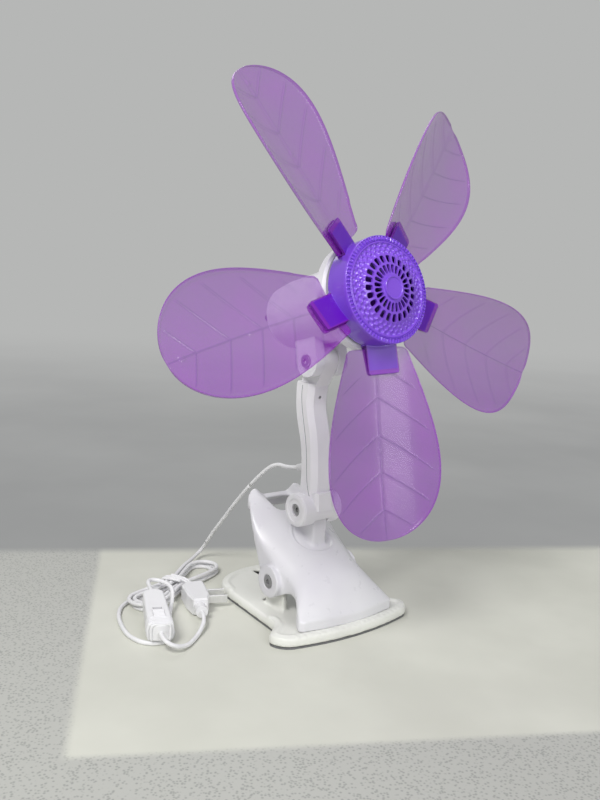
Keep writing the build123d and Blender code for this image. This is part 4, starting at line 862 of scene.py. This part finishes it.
def blade_faces(angle):
    """Both faces of one leaf as grids, and each grid point's reach and distance from the middle line.

    A point is rotor centre + reach * radial + chord and height turned by the pitch, where the sheet's
    height is camber * chord squared, plus or minus half the thickness, which is rounded off at the rim.
    """
    radial = np.cos(angle) * right_hand + np.sin(angle) * head_up
    sideways = -np.sin(angle) * right_hand + np.cos(angle) * head_up
    rows = np.linspace(0, 1, blade_rows)
    rows = blade_root + (sweep_radius - blade_root) * (1 - (1 - rows) ** 1.35)
    columns = -np.cos(np.linspace(0, np.pi, blade_columns))
    columns = 0.5 * columns + 0.5 * np.linspace(-1, 1, blade_columns)
    reach, across = np.meshgrid(rows, columns, indexing="ij")
    chord = leaf_middle(reach) + across * leaf_half(reach)
    ends = np.sqrt(step(reach, blade_root, blade_root + 0.0006) * step(sweep_radius - reach, 0, 0.0008))
    half = blade_thickness / 2 * (1 - np.abs(across) ** 14) ** (1 / 14) * ends
    pitch = np.radians(blade_pitch + blade_twist * (reach / sweep_radius - 0.6))
    faces = []
    for way in (1, -1):
        height = blade_camber * chord ** 2 + way * half
        if way == 1:
            height = height + vein_height(reach, chord) * ends
        place = (rotor_center + reach[..., None] * radial
                 + (chord * np.cos(pitch) - height * np.sin(pitch))[..., None] * sideways
                 + (chord * np.sin(pitch) + height * np.cos(pitch))[..., None] * head_axis)
        faces.append(place)
    return faces, reach, chord - leaf_middle(reach)


def grid_faces(number):
    """The four corners of each cell of a grid of point numbers."""
    return np.stack([number[:-1, :-1], number[1:, :-1], number[1:, 1:], number[:-1, 1:]], -1).reshape(-1, 4)


def leaf_mesh(name, faces, reach, off):
    """Two grids with a shared outline as one closed sheet, which keeps reach, off and edge as attributes."""
    rows, columns = reach.shape
    front = np.arange(rows * columns).reshape(rows, columns)
    rear = front + rows * columns
    rear[:, 0], rear[:, -1] = front[:, 0], front[:, -1]
    rear[0] = front[0]
    front[-1] = rear[-1] = front[-1, 0]
    points = np.concatenate([faces[0].reshape(-1, 3), faces[1].reshape(-1, 3)])
    quads = np.concatenate([grid_faces(front), grid_faces(rear)[:, ::-1]])
    used, quads = np.unique(quads, return_inverse=True)
    quads = quads.reshape(-1, 4)
    polygons = [list(dict.fromkeys(q)) for q in quads.tolist()]
    mesh = bpy.data.meshes.new(name)
    mesh.from_pydata(points[used].tolist(), [], [p for p in polygons if len(p) > 2])
    for kept, values in (("reach", reach), ("off", off), ("edge", leaf_half(reach) - np.abs(off))):
        mesh.attributes.new(kept, "FLOAT", "POINT").data.foreach_set(
            "value", np.tile(values.ravel(), 2)[used].astype(np.float32))
    smooth(mesh)
    return placed(name, mesh)


violet_vinyl = Finish("violet_vinyl", Coat_Weight=0.2, Coat_Roughness=0.06)
leaf_reach, leaf_off, leaf_edge = (violet_vinyl.node("Attribute", {"attribute_name": kept}, 2)
                                   for kept in ("reach", "off", "edge"))
leaf_side = leaf_off.math("ABSOLUTE", leaf_off)
vein_line = leaf_side * (1 / line_half_width)
for start in vein_starts:
    past = leaf_reach - start - vein_slope * leaf_side - vein_curve * leaf_side * leaf_side
    slant = 1 / (line_half_width * np.sqrt(1 + (vein_slope + vein_curve * 0.03) ** 2))
    vein_line = vein_line.math("MINIMUM", vein_line, past.math("ABSOLUTE", past) * slant)
inside = leaf_edge.between(0.003, 0.007) * leaf_reach.between(0.055, 0.062)
vein_share = vein_line.between(1.6, 0.6) * inside
rim_share = leaf_edge.between(0.0011, 0.0004)
leaf_cloud = violet_vinyl.noise(35).between(0.35, 0.7)
leaf_colour = violet_vinyl.shade(leaf_cloud, (0.26, 0.007, 0.46, 1), (0.30, 0.013, 0.50, 1))
violet_vinyl.feed("Base Color", violet_vinyl.shade(vein_share, leaf_colour, (0.16, 0.003, 0.34, 1)))
violet_vinyl.feed("Alpha", 0.345 + 0.02 * leaf_cloud + 0.10 * vein_share + 0.2 * rim_share)
violet_vinyl.haze(0.16, 0.1, 120)

for number in range(blade_count):
    angle = np.radians(first_blade_angle + number * 360 / blade_count)
    leaf = leaf_mesh(f"leaf_{number + 1}", *blade_faces(angle))
    violet_vinyl.dress(leaf)
    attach(leaf, "rotor")
    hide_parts(f"blade_{number + 1}")

# ---------------------------------------------------------------- hub
# The hub is moulded in glossy violet with five thin box sockets that grip the blades' roots.  A socket's
# core is dark, and its outer end is thinner, so it is lighter and more clear.  Under the cap's rim the drum
# is painted dark violet as painted shade of the gap between cap and drum.
hub_radius = 0.0376
socket_half_width = 0.013
socket_half_shown = 0.0113
socket_core_reach = 0.0535
socket_reach = 0.057
socket_pitch = np.radians(22.5)
socket_levels = (-0.0050, -0.0013, 0.0020, 0.0065)
socket_levels_shown = (-0.0027, -0.0013, 0.0020, 0.0034)
gap_shade_radius = 0.0358


def thinner_sockets(mesh):
    """Narrows and thins the hub's sockets; the places where they meet the drum stay on the drum."""
    points = mesh_points(mesh)
    offset = points - rotor_center
    right, up, axial = offset[:, 0], offset @ head_up, offset @ head_axis
    radius = np.hypot(right, up)
    share = (np.degrees(np.arctan2(up, right)) - first_blade_angle) * blade_count / 360
    turn_angle = np.radians(np.round(share) * 360 / blade_count + first_blade_angle)
    along = right * np.cos(turn_angle) + up * np.sin(turn_angle)
    sideways = -right * np.sin(turn_angle) + up * np.cos(turn_angle)
    across = sideways * np.cos(socket_pitch) + axial * np.sin(socket_pitch)
    level = -sideways * np.sin(socket_pitch) + axial * np.cos(socket_pitch)
    inside = (radius > hub_radius - 0.0002) & (np.abs(across) < socket_half_width + 1e-4)
    inside &= (level > socket_levels[0] - 1e-4) & (level < socket_levels[-1] + 1e-4)
    rim = np.abs(radius - hub_radius) < 2e-4
    shown_across = across * socket_half_shown / socket_half_width
    shown_level = np.interp(level, socket_levels, socket_levels_shown)
    new_sideways = shown_across * np.cos(socket_pitch) - shown_level * np.sin(socket_pitch)
    new_axial = shown_across * np.sin(socket_pitch) + shown_level * np.cos(socket_pitch)
    new_along = np.where(rim, np.sqrt(np.clip(radius ** 2 - new_sideways ** 2, 0, None)), along)
    new_right = new_along * np.cos(turn_angle) - new_sideways * np.sin(turn_angle)
    new_up = new_along * np.sin(turn_angle) + new_sideways * np.cos(turn_angle)
    moved = (rotor_center + new_right[:, None] * right_hand + new_up[:, None] * head_up
             + new_axial[:, None] * head_axis)
    points[inside] = moved[inside]
    mesh.vertices.foreach_set("co", points.ravel())
    for kept, values in (("across", shown_across / socket_half_shown), ("along", along)):
        mesh.attributes.new(kept, "FLOAT", "POINT").data.foreach_set("value", values.astype(np.float32))


hub = merged_copy("hub_shell", "hub_drum")
thinner_sockets(hub.data)
smooth(hub.data, 28)

hub_violet = Finish("hub_violet", Coat_Roughness=0.07)
hub_place = hub_violet.vector("SUBTRACT", hub_violet.place, tuple(rotor_center))
hub_reach = hub_violet.vector("LENGTH", hub_violet.vector("CROSS_PRODUCT", hub_place, tuple(head_axis)),
                              (0, 0, 0), "Value")
hub_across = hub_violet.node("Attribute", {"attribute_name": "across"}, 2)
hub_across = hub_across.math("ABSOLUTE", hub_across)
hub_along = hub_violet.node("Attribute", {"attribute_name": "along"}, 2)
on_socket = hub_reach.between(hub_radius + 0.0001, hub_radius + 0.0005)
socket_core = hub_along.between(socket_core_reach + 0.0004, socket_core_reach)
socket_core = socket_core * hub_across.between(0.95, 0.90)
socket_line = hub_along.between(socket_reach - 0.0009, socket_reach - 0.0004)
socket_line = socket_line.math("MAXIMUM", socket_line, hub_across.between(0.95, 0.98)) * 0.6
drum_colour = hub_violet.shade(hub_violet.noise(30), tone(116, 66, 202), tone(128, 78, 212))
# Painted shade: inside this radius, in the gap under the cap's rim, the drum is painted dark violet.
drum_colour = hub_violet.shade(hub_reach.between(gap_shade_radius, gap_shade_radius - 0.0005), drum_colour,
                               (0.035, 0.004, 0.12, 1))
socket_colour = hub_violet.shade(socket_core, (0.27, 0.025, 0.54, 1), (0.11, 0.001, 0.44, 1))
socket_colour = hub_violet.shade(socket_line, socket_colour, (0.12, 0.004, 0.30, 1))
hub_violet.feed("Coat Weight", 0.4 - 0.35 * on_socket)
hub_violet.feed("Base Color", hub_violet.shade(on_socket, drum_colour, socket_colour))
hub_violet.feed("Alpha", 1.0 - on_socket * (0.42 - 0.36 * socket_core))
hub_violet.feed("Roughness", 0.12 + 0.12 * hub_violet.noise(140) + 0.22 * on_socket)
hub_violet.dress(hub)
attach(hub, "rotor")
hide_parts("hub_shell")

# ---------------------------------------------------------------- cap
# A shallow violet cap snaps on the hub.  It has a knurled rim, a bead, three rings of round dimples, a ring
# of windows, a ring of long slits and a plain raised ring in the middle.
cap_profile = np.array([
    (0, 20.7), (6.9, 20.7), (7.15, 21.3), (7.9, 21.4), (8.25, 21.1), (8.5, 19.9), (15, 19.2), (20, 18.1),
    (24.0, 16.8), (28.6, 15.1), (32.0, 14.3), (33.6, 14.0), (36.9, 13.6), (37.4, 13.3), (37.6, 13.0)]) / 1000
cap_seat = 0.0116
cap_wall = 0.0018
cap_rim = ((hub_radius, 0.0128), (hub_radius, cap_seat), (0.0350, cap_seat), (0.0316, 0.0125))
bay_count = 24
window_half, slit_start, slit_half = 0.35, 0.13, 0.37
window_power, slit_power = 3.6, 4.0
bay_lines = np.concatenate([np.linspace(start, end, steps, endpoint=False) for start, end, steps in (
    (-0.5, -window_half, 5), (-window_half, -slit_start, 6), (-slit_start, slit_start, 8),
    (slit_start, window_half, 6), (window_half, 0.5, 5))])
slit_ends = (0.0103, 0.0165)
window_ends = (0.0178, 0.0231)
middle_rows = np.concatenate([[0.0035, 0.0066], np.linspace(0.0069, 0.0085, 9), [0.0094],
                              np.linspace(*slit_ends, 8), np.linspace(*window_ends, 9), [0.0233]])
outer_rows = np.concatenate([np.linspace(0.0235, 0.0318, 33), np.linspace(0.0321, 0.0336, 8),
                             np.linspace(0.0339, 0.0374, 15), [0.0376]])
knurl_count, knurl_height = 84, 0.0011
dimple_count, dimple_depth = 36, 0.0011
dimple_rings = (0.0252, 0.0279, 0.0306)
dimple_radius = 0.0019
lip_height = 0.0009
bead_radius, bead_half_width, bead_height = 0.03285, 0.0008, 0.0007


def cap_relief(radius, angle):
    """The knurl's teeth, the bead, and three rings of round dimples that are set half a step apart."""
    tooth = np.clip(0.35 + 1.1 * np.cos(knurl_count * angle), 0, 1)
    knurl = knurl_height * tooth * step(radius, 0.0344, 0.0347) * step(0.0371 - radius, 0, 0.0003)
    lips = lip_height * (step(radius, 0.0336, 0.0339) * step(0.0344 - radius, 0, 0.0003)
                         + step(radius, 0.0369, 0.0371))
    hollow = 0
    for number, ring in enumerate(dimple_rings):
        share = angle * dimple_count / (2 * np.pi) + number / 2
        sideways = (share - np.round(share)) * 2 * np.pi * ring / dimple_count
        distance = np.hypot(sideways * 0.92, radius - ring) / dimple_radius
        hollow = np.maximum(hollow, np.clip(1 - distance ** 2, 0, 1) ** 0.8)
    bead = np.sqrt(np.clip(1 - ((radius - bead_radius) / bead_half_width) ** 2, 0, 1))
    return knurl + lips - dimple_depth * hollow + bead_height * bead


def rounded_hole(radius, phase, ends, half_phase, power):
    """Rounds a hole's corners: its box shrinks to |u| ** power + |v| ** power = 1, in place."""
    middle, half = (ends[0] + ends[1]) / 2, (ends[1] - ends[0]) / 2
    u, v = (radius - middle) / half, phase / half_phase
    inside = np.maximum(np.abs(u), np.abs(v)) < 1 + 1e-6
    shrink = 1 / np.maximum((np.abs(u) ** power + np.abs(v) ** power) ** (1 / power), 1e-9)
    shrink = np.where(inside, np.minimum(shrink, 1), 1)
    radius[:] = middle + half * u * shrink
    phase[:] = phase * shrink


def cap_mesh():
    """The cap as one closed shell: a top grid with its relief, a plain underside and a wall round each hole.

    A row of the grid is a radius and a column an angle.  A slit lies half a bay beside its window, so the
    rows of the slits count their phase from there.
    """
    rows = np.concatenate([middle_rows, outer_rows])
    bay = np.repeat(np.arange(bay_count), len(bay_lines))
    phase = np.tile(bay_lines, bay_count)
    radius, window_phase = np.meshgrid(rows, phase, indexing="ij")
    slit_phase = np.where(window_phase > 0, window_phase - 0.5, window_phase + 0.5)
    slit_bay = np.where(window_phase > 0, bay + 0.5, bay - 0.5)
    slit_row = (rows >= slit_ends[0] - 1e-7) & (rows <= slit_ends[1] + 1e-7)
    rounded_hole(radius, window_phase, window_ends, window_half, window_power)
    slit_radius = radius.copy()
    rounded_hole(slit_radius, slit_phase, slit_ends, slit_half, slit_power)
    radius = np.where(slit_row[:, None], slit_radius, radius)
    angle = np.where(slit_row[:, None], slit_bay + slit_phase, bay + window_phase) * 2 * np.pi / bay_count

    def around(radius, angle, height):
        spoke = np.cos(angle)[..., None] * right_hand + np.sin(angle)[..., None] * head_up
        return rotor_center + radius[..., None] * spoke + height[..., None] * head_axis

    columns = len(phase)
    base = np.interp(radius, cap_profile[:, 0], cap_profile[:, 1])
    low = len(middle_rows) + 1
    top = around(radius, angle, base + cap_relief(radius, angle))
    rim = np.array(cap_rim)[:, :, None] * np.ones(columns)
    side = around(rim[:, 0], angle[-1] * np.ones((len(rim), 1)), rim[:, 1])
    under = around(radius[:low], angle[:low], base[:low] - cap_wall)
    points = np.concatenate([top, side, under[::-1]])
    number = np.arange(points.shape[0] * columns).reshape(-1, columns)
    after = np.roll(number, -1, axis=1)
    quads = np.stack([number[:-1], number[1:], after[1:], after[:-1]], -1)
    hole = np.zeros((len(number) - 1, columns), bool)
    cell = (phase + np.roll(phase, -1)) / 2
    cell[phase > np.roll(phase, -1)] = 0.5
    for ends, holed in ((slit_ends, np.abs(cell) > slit_start), (window_ends, np.abs(cell) < window_half)):
        band = (rows[:-1] >= ends[0] - 1e-7) & (rows[1:] <= ends[1] + 1e-7)
        hole[:len(rows) - 1] |= band[:, None] & holed[None, :]
    last = len(number) - 1
    for row in range(low - 1):
        hole[last - row - 1] = hole[row]
    walls = []
    for row, column in zip(*np.nonzero(hole[:low])):
        beside_column = (column + 1) % columns
        corners = [((row, column), (row, beside_column), (row - 1, column)),
                   ((row + 1, beside_column), (row + 1, column), (row + 1, column)),
                   ((row + 1, column), (row, column), (row, (column - 1) % columns)),
                   ((row, beside_column), (row + 1, beside_column), (row, beside_column))]
        for first, second, neighbour in corners:
            if not hole[neighbour]:
                a, b = number[first], number[second]
                walls.append([a, b, number[last - second[0], second[1]], number[last - first[0], first[1]]])
    polygons = quads[~hole].tolist() + walls + [number[0][::-1].tolist(), number[-1].tolist()]
    used, flat = np.unique(np.concatenate([np.array(p) for p in polygons]), return_inverse=True)
    places = points.reshape(-1, 3)[used]
    sizes = np.cumsum([0] + [len(p) for p in polygons])
    flat = flat.ravel().tolist()
    mesh = bpy.data.meshes.new("cap")
    mesh.from_pydata(places.tolist(), [], [flat[a:b] for a, b in zip(sizes[:-1], sizes[1:])])
    smooth(mesh, 42)
    return mesh


cap = placed("cap_grille", cap_mesh())
cap_violet = Finish("cap_violet", Coat_Weight=0.35, Coat_Roughness=0.07)
cap_violet.mottle(cap_violet.noise(40), (120, 66, 208), (132, 82, 220))
cap_violet.haze(0.16, 0.12, 150)
cap_violet.emboss(cap_violet.noise(900, 2.0), 0.00003)
cap_violet.dress(cap)
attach(cap, "rotor")
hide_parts("front_cap")

# ---------------------------------------------------------------- switch and plug
# The switch has two white shells, finger ribs round its low end and a ribbed thumb slider in its slot.  The
# moulded white plug has two flat plated pins.
switch_white = Finish("switch_white")
switch_white.mottle(switch_white.noise(60), (226, 226, 228), (234, 234, 236))
switch_white.haze(0.3, 0.18, 220)
switch_white.emboss(switch_white.noise(1100, 2.0), 0.00005)
paint(switch_white, "switch_top", "switch_bottom", "plug_body")

slider_place = 0.0165
slider_half_length, slider_half_width = 0.0046, 0.0043
slider_floor, slider_underside, slider_top = 0.0017, 0.00662, 0.0080
slider_ribs, slider_rib_height = 4, 0.0007
slider_dip, slider_edge_drop = 0.0004, 0.0009
slider_rows, slider_columns = 97, 25
stem_share = 0.72
switch_lines = np.array([switch_along, switch_side, switch_up])


def in_switch(along, side, up):
    """Places given along, beside and above the low end of the switch's middle line."""
    return np.array(switch_low) + np.stack(np.broadcast_arrays(along, side, up), -1) @ switch_lines


def slider_cap():
    """A thumb pad whose ribs are a cosine along it; its stem goes down through the switch's slot."""
    rows, columns = slider_rows, slider_columns
    forth, side = np.meshgrid(np.linspace(-1, 1, rows), np.linspace(-1, 1, columns), indexing="ij")
    forth, side = forth * np.sqrt(1 - side ** 2 / 2 * 0.12), side * np.sqrt(1 - forth ** 2 / 2 * 0.12)
    edge = np.minimum(1 - np.abs(forth), 1 - np.abs(side))
    rib = 0.5 + 0.5 * np.cos(2 * np.pi * slider_ribs * (forth * 0.5 + 0.5) / 0.98)
    height = slider_top + slider_dip * forth ** 2 - slider_edge_drop * (1 - step(edge, 0, 0.1))
    height -= slider_rib_height * rib * step(edge, 0.04, 0.12)
    levels = ((height, 1.0), (slider_underside, 1.0), (slider_underside, stem_share),
              (slider_floor, stem_share))
    points = [in_switch(slider_place + forth * slider_half_length * share,
                        side * slider_half_width * share, level) for level, share in levels]
    number = np.arange(rows * columns).reshape(rows, columns)
    rim = np.concatenate([number[0], number[1:, -1], number[-1, -2::-1], number[-2:0:-1, 0]])
    top = grid_faces(number)
    rings = [rim] + [rows * columns + k * len(rim) + np.arange(len(rim)) for k in range(3)]
    places = np.concatenate([points[0].reshape(-1, 3)] + [p.reshape(-1, 3)[rim] for p in points[1:]])
    polygons = top.tolist() + [rings[-1].tolist()]
    for upper, lower in zip(rings[:-1], rings[1:]):
        polygons += np.stack([upper, np.roll(upper, -1), np.roll(lower, -1), lower], -1).tolist()
    mesh = bpy.data.meshes.new("slider_cap")
    mesh.from_pydata(places.tolist(), [], polygons)
    turned_outwards(mesh)
    smooth(mesh, 50)
    return placed("slider_cap", mesh)


rib_count, rib_start, rib_pitch = 6, 0.0012, 0.0021
rib_half_height, rib_flatness = 0.0010, 0.72
rib_steps, rib_corners = 61, 12
rib_power = 5
switch_half_width, switch_half_height = 0.0090, 0.0065
switch_side_sink, switch_top_sink = 0.00035, 0.00025
switch_nose = 0.0042


def switch_ribs():
    """Half-round finger ribs over the switch's low end: ovals swept along |wide| ** 5 + |tall| ** 5 = 1."""
    ribs = []
    turn = np.linspace(-0.25 * np.pi, 1.25 * np.pi, rib_steps)
    wide, tall = np.cos(turn), np.sin(turn)
    bulge = (np.abs(wide) ** rib_power + np.abs(tall) ** rib_power) ** (-1 / rib_power)
    out = np.stack([wide, tall], -1) @ switch_lines[1:]
    for number in range(rib_count):
        forth = rib_start + number * rib_pitch
        nose = max(0, 1 - forth / switch_nose)
        half = switch_half_width * np.sqrt(1 - 0.75 * nose ** 2) - switch_side_sink
        line = in_switch(forth, half * wide * bulge, (switch_half_height - switch_top_sink) * tall * bulge)
        ribs.append(swept(f"switch_rib_{number + 1}", np.stack(
            [line + rib_half_height * (rib_flatness * np.cos(corner) * switch_lines[0] + np.sin(corner) * out)
             for corner in np.linspace(0, 2 * np.pi, rib_corners, endpoint=False)], 1)))
    return ribs


end_ribs = switch_ribs()
for rib in end_ribs:
    switch_white.dress(rib)
    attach(rib, "base")

slider = slider_cap()
switch_white.dress(slider)
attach(slider, "switch_knob")
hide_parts("switch_slider")
run_length(followed(loop_route))
run_length(followed(tail_route))

pin_metal = Finish("pin_metal", Metallic=0.8)
pin_metal.mottle(pin_metal.noise(400), (214, 214, 214), (232, 232, 232))
pin_metal.haze(0.34, 0.16, 800)
paint(pin_metal, "plug_pins")
